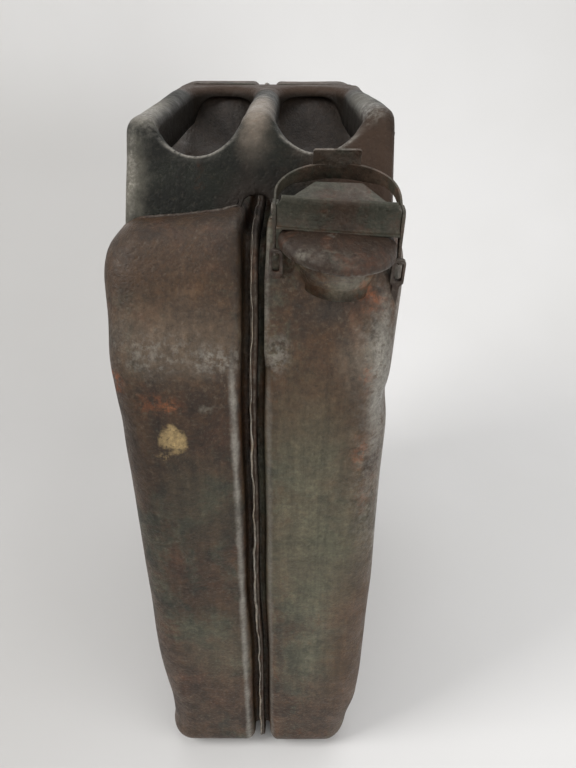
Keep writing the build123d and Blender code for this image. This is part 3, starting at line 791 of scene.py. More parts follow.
# Seam groove of one half: x, inset from the outline, outward normal along x and inset
GROOVE_X = 6.75
GROOVE_ROUND = 5.6
GROOVE = [
    (2.2, 12.6, -0.2, -1), (4.4, 12.5, -0.3, -0.95), (5.7, 12.0, -0.6, -0.8),
    (6.5, 10.8, -0.9, -0.4), (GROOVE_X, 9.0, -1, 0), (GROOVE_X, 7.2, -1, 0),
]


def section():
    """Profile across one half, from the groove to the flat side; columns as GROOVE."""
    rows = list(GROOVE)
    r = GROOVE_ROUND
    for angle in np.linspace(0, 90, 9):
        c, s = math.cos(math.radians(angle)), math.sin(math.radians(angle))
        rows.append((GROOVE_X + r - r * c, r - r * s, -c, -s))
    for x in np.linspace(GROOVE_X + r, HALF - EDGE_ROUND, 44)[1:-1]:
        rows.append((x, 0.0, 0.0, -1.0))
    r = EDGE_ROUND
    for angle in np.linspace(0, 90, 12):
        c, s = math.cos(math.radians(angle)), math.sin(math.radians(angle))
        rows.append((HALF - r + r * s, r - r * c, s, -c))
    return rows


def swage(y, z):
    """Mask of the two crossed bars pressed into each side."""
    mask = np.zeros(len(y))
    for angle in (math.radians(56), math.radians(-56)):
        run, rise = math.cos(angle), math.sin(angle)
        from_y, from_z = y - 168, z - 236
        along = np.clip(from_y * run + from_z * rise, -190, 190)
        distance = np.hypot(from_y - along * run, from_z - along * rise) - 15
        mask = np.maximum(mask, ease(1.5, -4.5, distance))
    return mask


def crown(across):
    """Height added to the shoulder, falling off away from the seam."""
    return np.interp(across, [0, 8, 18, 40, 66, 78], [10, 9.5, 6.8, 4.2, 2.4, 0])


def shoulder(y, z):
    """Mask of the top in front of the handle."""
    return ease(16, 36, y) * ease(110, 70, y) * ease(438, 462, z)


# Dents: centre, radius, depth, direction
DENTS = [
    ((82, 12, 372), 9, 2.0, (-1, 0.4, 0)), ((-82, 10, 352), 12, 0.6, (1, 0.3, 0)),
    ((-84, 12, 421), 12, 1.1, (1, 0.2, 0)), ((80, 4, 40), 22, 1.6, (-0.7, 0.7, 0)),
    ((-30, 0, 230), 40, 0.8, (0, 1, 0)), ((45, 0, 150), 46, 0.9, (0, 1, 0)),
    ((-78, 4, 60), 20, 1.2, (0.7, 0.7, 0)), ((60, 4, 300), 26, 0.7, (0, 1, 0)),
    ((20, 100, 463), 40, 1.0, (0, 0, -1)),
]
# Waves down the right front corner: push outwards, height, width
RIGHT_CORNER = [(-0.8, 373, 9), (-2.6, 385, 34), (-1.3, 300, 45), (0.9, 436, 24)]


def half_grid(sign):
    """Points, outward normals and faces of one half; the side closes to a middle point."""
    count = len(RIM)
    rows, normals = [], []
    for x, inset, normal_x, normal_in in section():
        rows.append(np.column_stack([np.full(count, x * sign), RIM + RIM_IN * inset]))
        normals.append(np.column_stack([np.full(count, normal_x * sign), RIM_IN * normal_in]))
    ring = rows[-1]
    rings = 64
    middle = np.array([HALF * sign, 172.0, 236.0])
    for k in range(1, rings):
        rows.append(ring * (1 - k / rings) + middle * (k / rings))
        normals.append(np.tile([sign, 0.0, 0.0], (count, 1)))
    points = np.vstack(rows + [middle[None]])
    normals = np.vstack(normals + [np.array([[sign, 0.0, 0.0]])])
    faces = grid_faces(len(rows), count, wrap_columns=True, flip=sign < 0)
    last = (len(rows) - 1) * count
    faces += [(last + (j + 1) % count, last + j, len(points) - 1) for j in range(count)]
    return points, normals, faces


def raise_boss(points, across):
    """Moves the sheet out along rays onto the blended surface of body and neck."""
    x, back, up = to_cap(points)
    near = np.nonzero((np.hypot(x, back) < 46) & (up > -90) & (up < 14) & (across > 9))[0]
    core = CAP_SEAT - CAP_UP * 32.0
    rays = points[near] - core
    start = np.linalg.norm(rays, axis=1)
    rays = rays / start[:, None]
    reach = np.full(len(near), 80.0)
    for _ in range(70):
        probe = core + rays * reach[:, None]
        body, neck = body_distance(probe), neck_distance(probe)
        blend = 6.0 - 4.5 * ease(2, 14, to_cap(probe)[1])
        overlap = np.maximum(blend - np.abs(body - neck), 0)
        joined = np.minimum(body, neck) - overlap ** 2 / (4 * blend)
        reach = reach - np.clip(joined, -1.0, 30) * 0.92
    points[near] = core + rays * np.maximum(reach, start)[:, None]


def body_half(sign, name, material, node):
    points, normals, faces = half_grid(sign)
    across = np.abs(points[:, 0])
    y, z = points[:, 1].copy(), points[:, 2].copy()
    if sign > 0:
        raise_boss(points, across)
    # Soft unevenness
    seed = 5 if sign > 0 else 21
    uneven = (waves(points, 95, seed) * 0.55 + waves(points, 38, seed + 1) * 0.20
              + waves(points, 14, seed + 2) * 0.06)
    points += normals * (uneven * (0.35 + 0.65 * ease(2, 20, across)))[:, None]
    # Swollen sides, a wider shoulder and the pressed bars
    side = sign * ease(HALF - 24, HALF, across)
    belly = (np.sin(np.clip(y / 345, 0, 1) * math.pi) ** 0.6
             * np.sin(np.clip(z / 470, 0, 1) * math.pi) ** 0.6)
    points[:, 0] += side * (1.6 * belly + 1.9 * hump(z, 446, 30) * hump(y, 40, 60))
    points[:, 0] -= side * 0.9 * hump(z, 330, 90) * hump(y, 0, 60)
    points[:, 0] -= side * 4.2 * swage(y, z)
    # Front wall slightly proud between groove and corner, and again along the foot
    proud = ease(4, 0, y) * ease(20, 60, z) * ease(395, 340, z)
    points[:, 1] -= proud * 0.9 * np.sin(np.clip((across - 10) / 60, 0, 1) * math.pi)
    points[:, 2] += crown(across) * shoulder(y, z) * (0.35 if sign > 0 else 1.0)
    points[:, 1] -= 2.6 * hump(z, 7, 13) * ease(40, 10, y) * ease(6, 14, across)
    # Bent front corners
    bent = hump(y, 0, 70) * ease(20, 75, across)
    if sign < 0:
        points[:, 0] += 4.2 * ease(125, 35, z) * (1 - 0.9 * ease(34, 8, z)) * bent
        points[:, 0] -= 0.7 * hump(z, 405, 40) * bent
    else:
        points[:, 0] -= (7.0 * ease(70, 15, z) - 0.6 * ease(400, 300, z) * ease(60, 120, z)) * bent
        for push, height, width in RIGHT_CORNER:
            points[:, 0] += push * hump(z, height, width) * bent
        points[:, 2] += (6.0 * ease(50, 74, across) * ease(10, 30, y) * ease(130, 60, y)
                         * ease(420, 455, z))
    points[:, 0] += groove_wander(points) * ease(24, 8, across)
    for centre, radius, depth, direction in DENTS:
        amount = np.exp(-(((points - np.array(centre)) ** 2).sum(1)) / (radius * radius))
        points += amount[:, None] * depth * np.array(direction)
    if sign > 0:
        # The neck passes through the sheet
        x, back, up = to_cap(points)
        hole = (np.hypot(x, back) < 20.2) & (up > -12.5) & (up < 20)
        faces = [f for f in faces if not all(hole[i] for i in f)]
    obj = make(name, points, faces, material)
    solidify(obj, thickness=1.0, offset=-1)
    register(obj, node, "can")


body_half(-1, "body_half_left", steel_left, "body_shell_left")
body_half(1, "body_half_right", steel_right, "body_shell_right")


# ----------------------------------------------------------- seam in the groove
def seam_line(inset, x):
    """The outline at an inset and x, slightly wavy and following the groove."""
    points = np.column_stack([np.full(len(SEAM), float(x)), SEAM + SEAM_IN * inset])
    flat = points * np.array([0, 1, 1])
    wave_x = waves(flat, 34, 40) * 0.35 + waves(flat, 9, 41) * 0.35 * 0.35
    wave_in = waves(flat, 21, 42) * 0.25 + waves(flat, 7, 43) * 0.25 * 0.5
    points[:, 0] += wave_x + groove_wander(points)
    points[:, 1:] += SEAM_IN * wave_in[:, None]
    # Stands a little higher and wider over the front shoulder
    high = ease(350, 400, points[:, 2]) * (points[:, 1] < 120)
    points[:, 1:] -= SEAM_IN * (0.9 * high)[:, None]
    if x:
        drift = wave_x + groove_wander(points)
        points[:, 0] = (points[:, 0] - drift) * (1 + 0.12 * high) + drift
    points[:, 2] += 3.0 * shoulder(points[:, 1], points[:, 2])
    return points


# Profile of the two sheet edges standing in the groove: x, inset from the outline
FLANGE = [
    (-1.75, 13.0), (-1.7, 6.0), (-1.65, 3.2), (-1.45, 2.3), (-1.0, 1.8), (-0.5, 1.9), (-0.1, 2.2),
    (0.3, 1.9), (0.9, 1.7), (1.5, 2.1), (1.85, 2.9), (2.0, 4.2), (2.05, 7.0), (2.1, 13.0),
]


def seam_flanges():
    rows = [seam_line(inset, x) for x, inset in FLANGE]
    obj = make("seam_flanges", np.vstack(rows),
               grid_faces(len(FLANGE), len(SEAM), wrap_rows=True, wrap_columns=True),
               steel_flange)
    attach(obj, "can")


def seam_bead():
    """Short overlapping weld ripples, thinner over the front shoulder."""
    steps = np.linalg.norm(np.diff(SEAM, axis=0), axis=1)
    run = np.concatenate([[0], np.cumsum(steps)])
    centre = seam_line(1.9, 0.0)
    ripple = 0.5 + 0.5 * np.abs(np.sin(run / 3.1 + 1.3 * np.sin(run / 17.0)))
    fat = 1.0 + 0.28 * np.sin(run / 29.0) + 0.18 * np.sin(run / 11.0 + 1)
    thin = 1 - 0.75 * ease(335, 395, SEAM[:, 1]) * (SEAM[:, 0] < 200)
    radius_x = 0.62 * fat * (0.75 + 0.35 * ripple) * thin
    radius_in = 0.62 * fat * (0.7 + 0.45 * ripple) * thin
    wander = -0.85 + 0.35 * np.sin(run / 6.2) + 0.2 * np.sin(run / 2.7)
    rows = []
    for angle in np.linspace(0, 2 * math.pi, 10, endpoint=False):
        points = centre.copy()
        points[:, 0] += np.cos(angle) * radius_x + wander
        points[:, 1:] += SEAM_IN * (-np.sin(angle) * radius_in)[:, None]
        rows.append(points)
    obj = make("seam_weld_bead", np.vstack(rows),
               grid_faces(len(rows), len(SEAM), wrap_rows=True, wrap_columns=True), steel_weld)
    register(obj, "seam_weld", "can")


seam_flanges()
seam_bead()

# -------------------------------------------------------------------- handle
# Side path of the sheet, up the sloping front and back along the top: y, z, corner radius
HANDLE_ROUTE = np.array([
    (48.5, 449.5, 0), (87.4, 517.2, 14), (200, 517.4, 60), (262, 517.8, 40), (278.5, 518.4, 0),
])


def sample_path(route):
    """Points and arc lengths along an open rounded path."""
    points = [route[0, :2]]
    for i in range(1, len(route) - 1):
        here, radius = route[i, :2], route[i, 2]
        into, _, turn, cut = corner(route[i - 1, :2], here, route[i + 1, :2], radius)
        points += arc(here, into, turn, cut, radius, max(4, int(abs(turn) * radius / 1.5)))
    points = np.array(points + [route[-1, :2]])
    steps = np.linalg.norm(np.diff(points, axis=0), axis=1)
    return points, np.concatenate([[0], np.cumsum(steps)])


PATH, PATH_RUN = sample_path(HANDLE_ROUTE)
PATH_END = PATH_RUN[-1]
BEND = PATH_RUN[np.argmin(np.abs(PATH[:, 0] - 87.2) + np.abs(PATH[:, 1] - 514))]
HANDLE_HALF = 77.4                # half width of the sheet
SIDE_ROUND = 8.0                  # rounding of its side edges
HOLE_X = 35.0                     # centre line of each opening
HOLE_HALF = 24.5                  # half width of each opening
FRONT_STRETCH = 1.15              # the front end of an opening is longer than round
# The openings run from down on the sloping front to near the rear (run along the path)
HOLE_FRONT = BEND - 20.0
HOLE_REAR = PATH_RUN[np.argmin(np.abs(PATH[:, 0] - 250))]
ARC_FRONT = HOLE_FRONT + HOLE_HALF * FRONT_STRETCH
ARC_REAR = HOLE_REAR - HOLE_HALF


def on_path(run):
    """y, z and the outward normal at a run along the path."""
    def at(where):
        return (np.interp(where, PATH_RUN, PATH[:, 0]), np.interp(where, PATH_RUN, PATH[:, 1]))

    (y, z), (y_after, z_after), (y_before, z_before) = at(run), at(run + 1.2), at(run - 1.2)
    along_y, along_z = y_after - y_before, z_after - z_before
    length = np.hypot(along_y, along_z) + 1e-9
    return y, z, -along_z / length, along_y / length


def opening_rings():
    """Matching rings of (x, run): round the opening, and round the edge of the half sheet."""
    hole, border = [], []

    def straight(start, end, hole_x, border_x):
        for run in np.linspace(start, end, 46, endpoint=False):
            hole.append((hole_x, run))
            border.append((border_x, run))

    def end_arc(centre, start, count, stretch):
        for angle in np.linspace(start, start + math.pi, count, endpoint=False):
            c, s = math.cos(angle), math.sin(angle)
            hole.append((HOLE_X + HOLE_HALF * c, centre + HOLE_HALF * stretch * s))
            reach = []
            if abs(c) > 1e-6:
                reach.append((HANDLE_HALF - HOLE_X if c > 0 else -HOLE_X) / c)
            if abs(s) > 1e-6:
                reach.append((PATH_END - centre if s > 0 else -centre) / s)
            border.append((HOLE_X + c * min(reach), centre + s * min(reach)))

    straight(ARC_FRONT, ARC_REAR, HOLE_X + HOLE_HALF, HANDLE_HALF)
    end_arc(ARC_REAR, start=0, count=31, stretch=1)
    straight(ARC_REAR, ARC_FRONT, HOLE_X - HOLE_HALF, 0)
    end_arc(ARC_FRONT, start=math.pi, count=121, stretch=FRONT_STRETCH)
    hole, border = np.array(hole), np.array(border)
    # A sample exactly on each corner of the sheet
    for point in ((HANDLE_HALF, PATH_END), (0, PATH_END), (0, 0), (HANDLE_HALF, 0)):
        border[np.argmin(((border - np.array(point)) ** 2).sum(1))] = point
    return hole, border


def handle_half(sign):
    """Points, faces and wear values of one half of the sheet."""
    hole, border = opening_rings()
    count = len(hole)
    spread = np.linalg.norm(border - hole, axis=1)
    outward = (border - hole) / (spread[:, None] + 1e-9)
    # Lip of the opening: round along the grips and at the rear, tight on the front slope
    front = ease(BEND - 2, HOLE_FRONT + 2, hole[:, 1])
    rear = ease(HOLE_REAR - HOLE_HALF, HOLE_REAR, hole[:, 1])
    middle = (1 - front) * (1 - rear)
    lip = 8.2 * middle + 2.6 * front + 5.5 * rear
    inner = (border[:, 0] < 1) & (hole[:, 1] > ARC_FRONT) & (hole[:, 1] < ARC_REAR)
    lip = np.minimum(np.where(inner, 9.6, lip), spread * 0.9)
    wall = ((13.0 + 12.0 * ease(HOLE_X, HOLE_X + HOLE_HALF, hole[:, 0])) * middle
            + 5.0 * front + 7.5 * rear)
    rows, wear = [], []

    def add_row(flat, height):
        """One ring of (x, run) at a height over the path, bent round the side edge."""
        over = np.clip(SIDE_ROUND - (HANDLE_HALF - flat[:, 0]), 0, SIDE_ROUND)
        height = height - (SIDE_ROUND - np.sqrt(SIDE_ROUND ** 2 - over ** 2))
        # The front edge arches up round the seam
        arch = 31.5 * np.sqrt(np.clip(1 - (flat[:, 0] / 11.5) ** 4, 0, 1))
        run = flat[:, 1]
        run = run + arch * np.clip(1 - run / 72, 0, 1)
        y, z, out_y, out_z = on_path(run)
        rows.append(np.column_stack([flat[:, 0] * sign, y + out_y * height, z + out_z * height]))

    # Upright wall of the lip from its lower edge, its rounding, then the sheet to the border
    for part, amount in ((1.0, 0.3), (0.6, 0.3), (0.25, 1.0)):
        add_row(hole, -(lip + (wall - lip) * part))
        wear.append(0.7 * front * amount)
    distances = [(1 - math.cos(t * math.pi / 2)) * lip for t in np.linspace(0, 1, 9)]
    distances += [lip + (spread - lip) * t for t in np.linspace(0, 1, 16)[1:]]
    for distance in distances:
        inside = np.clip(lip - distance, 0, None)
        add_row(hole + outward * distance[:, None],
                -(lip - np.sqrt(np.clip(lip ** 2 - inside ** 2, 0, None))))
        wear.append(hump(distance, 0.35 * lip, 1.1) * front)
    sheet_rows = len(rows)
    # Skirt down the side edge, deeper on the front slope
    on_edge = border[:, 0] > HANDLE_HALF - 0.01
    y, z, out_y, out_z = on_path(border[:, 1])
    deep = ease(BEND + 16, BEND - 6, border[:, 1])
    for drop in (2.6, 4.0 + 4.5 * deep, 5.4 + 9.0 * deep):
        ring = rows[-1].copy()
        ring[:, 1] = np.where(on_edge, y - out_y * (SIDE_ROUND + drop), ring[:, 1])
        ring[:, 2] = np.where(on_edge, z - out_z * (SIDE_ROUND + drop), ring[:, 2])
        rows.append(ring)
        wear.append(np.zeros(count))
    faces = [f for f in grid_faces(len(rows), count, wrap_columns=True, flip=sign < 0)
             if max(f) < sheet_rows * count or all(on_edge[i % count] for i in f)]
    return np.vstack(rows), faces, np.concatenate(wear)


def handle_sheet():
    right, faces, wear_right = handle_half(1)
    left, faces_left, wear_left = handle_half(-1)
    points = np.vstack([right, left])
    faces += [tuple(i + len(right) for i in f) for f in faces_left]
    # Unevenness, then a lean to the right
    points[:, 2] += waves(points, 60, 77) * 0.35 + waves(points, 22, 78) * 0.16
    points[:, 0] += waves(points, 70, 79) * 0.4 + 1.4 + 2.4 * ease(15, 77, points[:, 0])
    points[:, 2] += (0.042 * points[:, 0] * (1 - 0.85 * ease(110, 250, points[:, 1]))
                     * ease(470, 505, points[:, 2]))
    obj = make("handle_pressed_sheet", points, faces, steel_handle)
    attribute = obj.data.attributes.new("wear", "FLOAT", "POINT")
    wear = np.concatenate([wear_right, wear_left])
    attribute.data.foreach_set("value", wear.astype(np.float32))
    # Weld the halves together and face the top sheet upwards
    edit = bmesh.new()
    edit.from_mesh(obj.data)
    bmesh.ops.remove_doubles(edit, verts=edit.verts, dist=0.00012)
    bmesh.ops.recalc_face_normals(edit, faces=edit.faces)
    upward = sum(f.normal.z * f.calc_area() for f in edit.faces
                 if f.calc_center_median().z > 0.51)
    if upward < 0:
        bmesh.ops.reverse_faces(edit, faces=edit.faces)
    edit.to_mesh(obj.data)
    edit.free()
    shade_smooth(obj.data)
    solidify(obj, thickness=1.5, offset=-1)
    register(obj, "handle_pressing", "can")


def weld_rod(name, node, ends, y, z, radius, seed, crowned=False):
    """Rippled weld across the can in two lengths, broken at the seam."""
    gap, count, sides = 9.0, 90, 9
    pieces = []
    for start, end in ((ends[0], -gap), (gap, ends[1])):
        x = np.linspace(start, end, count)
        ripple = 0.8 + 0.25 * np.abs(np.sin(x / 1.5 + np.sin(x / 6)))
        taper = np.clip(np.minimum(x - start, end - x) / 4, 0.05, 1) ** 0.5
        thick = radius * ripple * taper
        drop = 20 - np.sqrt(400 - np.clip(np.abs(x) - 62.5, 0, 19) ** 2)
        lift = crowned * np.where(x < 0, 1.0, 0.35) * crown(np.abs(x))
        sway = waves(np.column_stack([x, x * 0, x * 0]), 18, seed) * 0.4
        rows = [np.column_stack([x, y + 0.56 * lift + math.cos(angle) * thick + sway,
                                 z - drop + lift + math.sin(angle) * thick * 0.8])
                for angle in np.linspace(0, 2 * math.pi, sides, endpoint=False)]
        pieces.append(make(name + "_p", np.vstack(rows),
                           grid_faces(sides, count, wrap_rows=True), steel_foot))
    register(join(name, pieces), node, "can")


handle_sheet()
weld_rod("handle_foot_weld", "handle_weld_front", ends=(-66, 64), y=53.2, z=463.0, radius=1.3,
         seed=31, crowned=True)
weld_rod("handle_rear_weld", "handle_weld_rear", ends=(-62, 64), y=277.6, z=518.2, radius=1.2,
         seed=33)

# ------------------------------------------------------------- neck and cap
# Turned profiles: radius, height over the cap seat. AXIS is a pinhole radius on the axis.
AXIS = 0.02
NECK = [
    (16.6, -20.5), (17.4, -20.7), (18.6, -19.2), (19.9, -16.6), (20.75, -13.6), (21.05, -11.0),
    (20.95, -8), (21.0, -3.4), (21.7, -3.0), (22.0, -2.2), (21.8, -1.5), (21.2, -1.1),
    (20.3, -1.1), (19.6, -1.5), (19.5, -4.2), (19.0, -4.6), (19.0, -12), (19.0, -25),
]
COVER = [
    (AXIS, 5.45), (4, 5.42), (9, 5.3), (14, 5.05), (18, 4.75), (21.5, 4.7), (24, 4.55),
    (26.4, 4.0), (28.2, 3.1), (29.9, 2.0), (30.8, 0.7), (31.2, -0.8), (31.3, -2.2),
    (31.1, -3.0), (30.6, -3.3), (30.0, -2.9), (29.6, -1.2), (29.0, 0.5), (27.6, 1.9),
    (25.5, 3.0), (22, 3.6), (14, 4.1), (6, 4.2), (AXIS, 4.2),
]
GASKET = [
    (AXIS, -0.95), (10, -0.95), (22.5, -0.95), (23.8, -0.6), (24.0, 0.4), (23.9, 2.0),
    (22, 2.8), (12, 3.9), (AXIS, 4.0),
]
RETAINER = [
    (AXIS, -2.05), (8, -2.0), (15.4, -1.95), (16.6, -1.75), (17.3, -1.3), (17.2, -1.0),
    (AXIS, -1.0),
]
CENTRE_RIVET = [
    (AXIS, -3.5), (2.0, -3.35), (3.6, -2.8), (4.3, -2.1), (4.2, -1.9), (2.5, -1.9), (2.5, 6.2),
    (4.5, 6.5), (4.6, 7.0), (4.0, 7.9), (2.6, 8.7), (1.0, 9.0), (AXIS, 9.05),
]
register(revolve("filler_neck_tube", NECK, steel_neck, oval=0.004, closed=True),
         "filler_neck", "can")
register(revolve("cap_cover_dome", COVER, steel_cap, count=120, oval=0.004, wobble=0.14),
         "cap_cover", "cap")
register(revolve("gasket_disc", GASKET, old_rubber), "cap_gasket", "cap")
register(revolve("gasket_retainer_plate", RETAINER, steel_cap),
         "gasket_retainer", "cap")
register(revolve("centre_rivet", CENTRE_RIVET, steel_pin, count=40, centre=(0, 9.5)),
         "cap_rivet", "cap")

# ---------------------------------------------------------------------- yoke
# Front wall, swept across: back, up
YOKE_WALL = [
    (-0.6, 4.9), (0.9, 5.0), (2.2, 5.5), (3.0, 6.8), (3.5, 9.2), (3.8, 12.2), (3.6, 15.2),
    (3.0, 18.2), (2.4, 20.0), (2.4, 20.9), (3.3, 21.25),
]
YOKE_SHEET = 1.2
# Flat outlines: x, back for the tongue and base; back, up for the ears
TONGUE = smooth_poly([(-24.5, -0.6), (24.5, -0.6), (23.8, 1.5), (12.3, 14.6), (-12.3, 14.6),
                      (-23.8, 1.5)], [0.1, 0.1, 1, 1.8, 1.8, 1])
BASE = smooth_poly([(-32.2, 3.4), (32.2, 3.4), (32.2, 17.8), (-32.2, 17.8)], 0.8)
EAR = smooth_poly([(2.9, 5.4), (2.9, 17.6), (10.5, 17.4), (18.5, 12.0), (28, 9.3), (32.2, 7.4),
                   (32.2, 2.6), (28, 0.8), (23, 2.0), (16, 5.4)],
                  [0.6, 1.4, 3, 4, 3, 3.6, 3.6, 3.6, 3, 2])


def yoke_wall():
    count = 61
    across = np.linspace(-1, 1, count)
    rows = []
    for back, up in YOKE_WALL:
        half_width = 32.3 - 2.6 * ease(15.5, 21.2, up)
        sag = 0.35 * np.cos(across * math.pi / 2) * (up < 8)
        rows.append(cap_point(across * half_width, back - 0.3 * (1 - across ** 2), up - sag))
    points = np.vstack(rows)
    points += waves(points, 17, 91)[:, None] * 0.10 * CAP_BACK
    wall = make("yoke_wall", points, grid_faces(len(rows), count), steel_yoke)
    solidify(wall, thickness=YOKE_SHEET, offset=1.0)
    bevel(wall, width=0.3, segments=2, angle=40)
    return wall


def yoke():
    slope = math.radians(17)
    uphill = math.cos(slope) * CAP_BACK + math.sin(slope) * CAP_UP
    pieces = [
        yoke_wall(),
        plate("yoke_tongue", TONGUE, YOKE_SHEET, cap_point(0, 3.2, 19.9), ACROSS, uphill,
              steel_yoke, edge=0.3),
        plate("yoke_base", BASE, YOKE_SHEET, cap_point(0, 0, 5.5), ACROSS, CAP_BACK,
              steel_yoke, edge=0.25),
    ]
    pieces += [side_plate("yoke_ear", EAR, side, outer=32.4, thick=YOKE_SHEET,
                          material=steel_yoke, edge=0.25) for side in (-1, 1)]
    register(join("cap_yoke_frame", pieces), "cap_yoke", "cap")


yoke()

# --------------------------------------------------------------------- lever
BAND_HALF = 33.1
TAB = smooth_poly([(-13.2, -1), (13.2, -1), (13.0, 10.4), (12.2, 11.6), (-12.2, 11.6),
                   (-13.0, 10.4)], [0.1, 0.1, 0.6, 1.2, 1.2, 0.6])
# Arm with a claw at its lower end: back, up
ARM = smooth_poly([(1.6, 15.4), (3.6, 18.2), (10.6, 17.8), (13.0, 14.6), (10.6, 8.6),
                   (5.6, -2.0), (2.4, -9.3), (-1.2, -9.9), (-4.7, -8.4), (-4.7, -7.0),
                   (-1.4, -6.6), (0.6, -3.6), (1.0, 6.4)],
                  [1.5, 3, 3, 3, 3, 3, 1.2, 1.2, 0.5, 0.5, 0.8, 3, 4])


def lever():
    """Curved band round the back, thumb tab on it, and a clawed arm on each side."""
    rise = math.radians(18)
    pivot = cap_point(0, *LEVER_PIVOT)
    back_axis = math.cos(rise) * CAP_BACK + math.sin(rise) * CAP_UP
    up_axis = math.cos(rise) * CAP_UP - math.sin(rise) * CAP_BACK
    # Path of the band: up the left side, round the back, down the right side
    angle = np.radians(np.linspace(180, 0, 61))
    x = np.concatenate([np.full(9, -BAND_HALF), BAND_HALF * np.cos(angle),
                        np.full(8, BAND_HALF)])
    back = np.concatenate([np.linspace(-3.5, 8, 9, endpoint=False),
                           8 + 27.4 * np.abs(np.sin(angle)) ** 0.86,
                           np.linspace(8, -3.5, 9)[1:]])
    rear = ease(18, 34, back) * ease(30, 16, np.abs(x))
    top = 3.6 + 0.5 * rear
    bottom = -3.6 - 3.2 * rear
    rows = []
    for k in np.linspace(0, 1, 7):
        height = bottom + (top - bottom) * k
        rows.append(pivot + x[:, None] * ACROSS
                    + (back - 0.10 * height * rear)[:, None] * back_axis
                    + height[:, None] * up_axis)
    points = np.vstack(rows)
    points += waves(points, 22, 61)[:, None] * 0.12 * ACROSS
    band = make("lever_band", points, grid_faces(len(rows), len(x)), steel_lever)
    solidify(band, thickness=1.3, offset=0)
    bevel(band, width=0.42, segments=3, angle=40)
    tab = plate("lever_tab", TAB, 1.25, pivot + back_axis * 35.4 + up_axis * 2.6, ACROSS,
                up_axis * 0.985 - back_axis * 0.17, steel_lever, edge=0.35)
    arms = [side_plate("lever_arm", ARM, side, outer=34.3, thick=1.8, material=steel_lever,
                       edge=0.5, segments=3) for side in (-1, 1)]
    register(join("cam_lever", [band, tab] + arms), "cap_lever", "lever")


lever()


# ----------------------------------------------------- rivets, pins and lugs
# Domed head: height as a share of the head's thickness, share of its radius
HEAD = [(0, 0.98), (0.2, 1), (0.55, 0.93), (0.85, 0.68), (1.0, 0.3)]


def button(name, shaft, centre, shaft_radius, head_radius, heads):
    """Pin along x between the two shaft ends, with domed heads (x, direction, thickness)."""
    count = 28
    angle = np.linspace(0, 2 * math.pi, count, endpoint=False)

    def rings(stations):
        return np.vstack([cap_point(np.full(count, x), centre[0] + radius * np.cos(angle),
                                    centre[1] + radius * np.sin(angle))
                          for x, radius in stations])

    faces = grid_faces(2, count, wrap_columns=True)
    faces += [tuple(range(count)), tuple(range(count, 2 * count))]
    pieces = [make(name + "_s", rings([(x, shaft_radius) for x in shaft]), faces, steel_pin)]
    profile = [(0, AXIS)] + [(t, head_radius * share) for t, share in HEAD] + [(1.02, AXIS)]
    for x, direction, thick in heads:
        points = rings([(x + direction * thick * t, radius) for t, radius in profile])
        pieces.append(make(name + "_h", points,
                           grid_faces(len(profile), count, wrap_columns=True), steel_pin))
    return join(name, pieces)


# Hinge lug: back, up
HINGE_LUG = smooth_poly([(22.6, -11), (23.8, 3.5), (25.0, 8.2), (28.0, 9.2), (31.0, 8.2),
                         (32.2, 3.5), (32.2, -11)], [0.2, 2, 3, 3, 3, 2, 0.2])
SIDES = ((-1, "left"), (1, "right"))
for side, label in SIDES:
    rivet = button(label + "_lever_rivet_head", shaft=(side * 30.6, side * 34.4),
                   centre=LEVER_PIVOT, shaft_radius=2.0, head_radius=3.4,
                   heads=[(side * 34.0, side, 1.2), (side * 31.2, -side, 1.2)])
    register(rivet, label + "_lever_rivet", "cap")
    pin = button(label + "_hinge_pin_turned", shaft=(side * 29.0, side * 32.4), centre=HINGE,
                 shaft_radius=1.8, head_radius=3.0, heads=[(side * 29.5, -side, 1.1)])
    register(pin, label + "_hinge_pin", "can")
    lug = side_plate(label + "_hinge_lug_plate", HINGE_LUG, side, outer=31.0, thick=1.5,
                     material=steel_cap, edge=0.25)
    register(lug, label + "_hinge_lug", "can")


def keeper_lug(side, label, outer_x, bottom):
    """Strip loop beside the neck with a stem down to the can; outlines are x, up."""
    outer = smooth_poly([(28.9, -4.6), (outer_x, -4.6), (outer_x, -18.6), (34.4, -20.2),
                         (34.0, bottom), (30.6, bottom), (30.4, -20.2), (28.9, -18.6)],
                        [2.6, 2.6, 2.4, 1.5, 0.3, 0.3, 1.5, 2.4])
    inner_x = outer_x - 1.5
    inner = smooth_poly([(30.6, -6.2), (inner_x, -6.2), (inner_x, -17.0), (30.6, -17.0)],
                        1.6, step=0.4)
    curve = bpy.data.curves.new(label + "_lug", "CURVE")
    curve.dimensions = "2D"
    curve.fill_mode = "BOTH"
    curve.extrude = 1.0 * MM
    curve.bevel_depth = 0.35 * MM
    curve.bevel_resolution = 2
    curve.offset = -0.3 * MM
    for loop in (outer, inner):
        spline = curve.splines.new("POLY")
        spline.points.add(len(loop) - 1)
        for i, (x, up) in enumerate(loop):
            spline.points[i].co = (x * side * MM, up * MM, 0, 1)
        spline.use_cyclic_u = True
    drawn = link(bpy.data.objects.new(label + "_lug_curve", curve))
    bpy.context.view_layer.update()
    baked = drawn.evaluated_get(bpy.context.evaluated_depsgraph_get())
    mesh = bpy.data.meshes.new_from_object(baked)
    bpy.data.objects.remove(drawn)
    flat = np.array([v.co for v in mesh.vertices], float) / MM
    lug = make(label + "_keeper_loop", cap_point(flat[:, 0], -4.75 + flat[:, 2], flat[:, 1]),
               [tuple(p.vertices) for p in mesh.polygons], steel_cap)
    register(lug, label + "_keeper_lug", "can")


keeper_lug(-1, "left", outer_x=36.0, bottom=-24.5)
keeper_lug(1, "right", outer_x=36.4, bottom=-32.0)

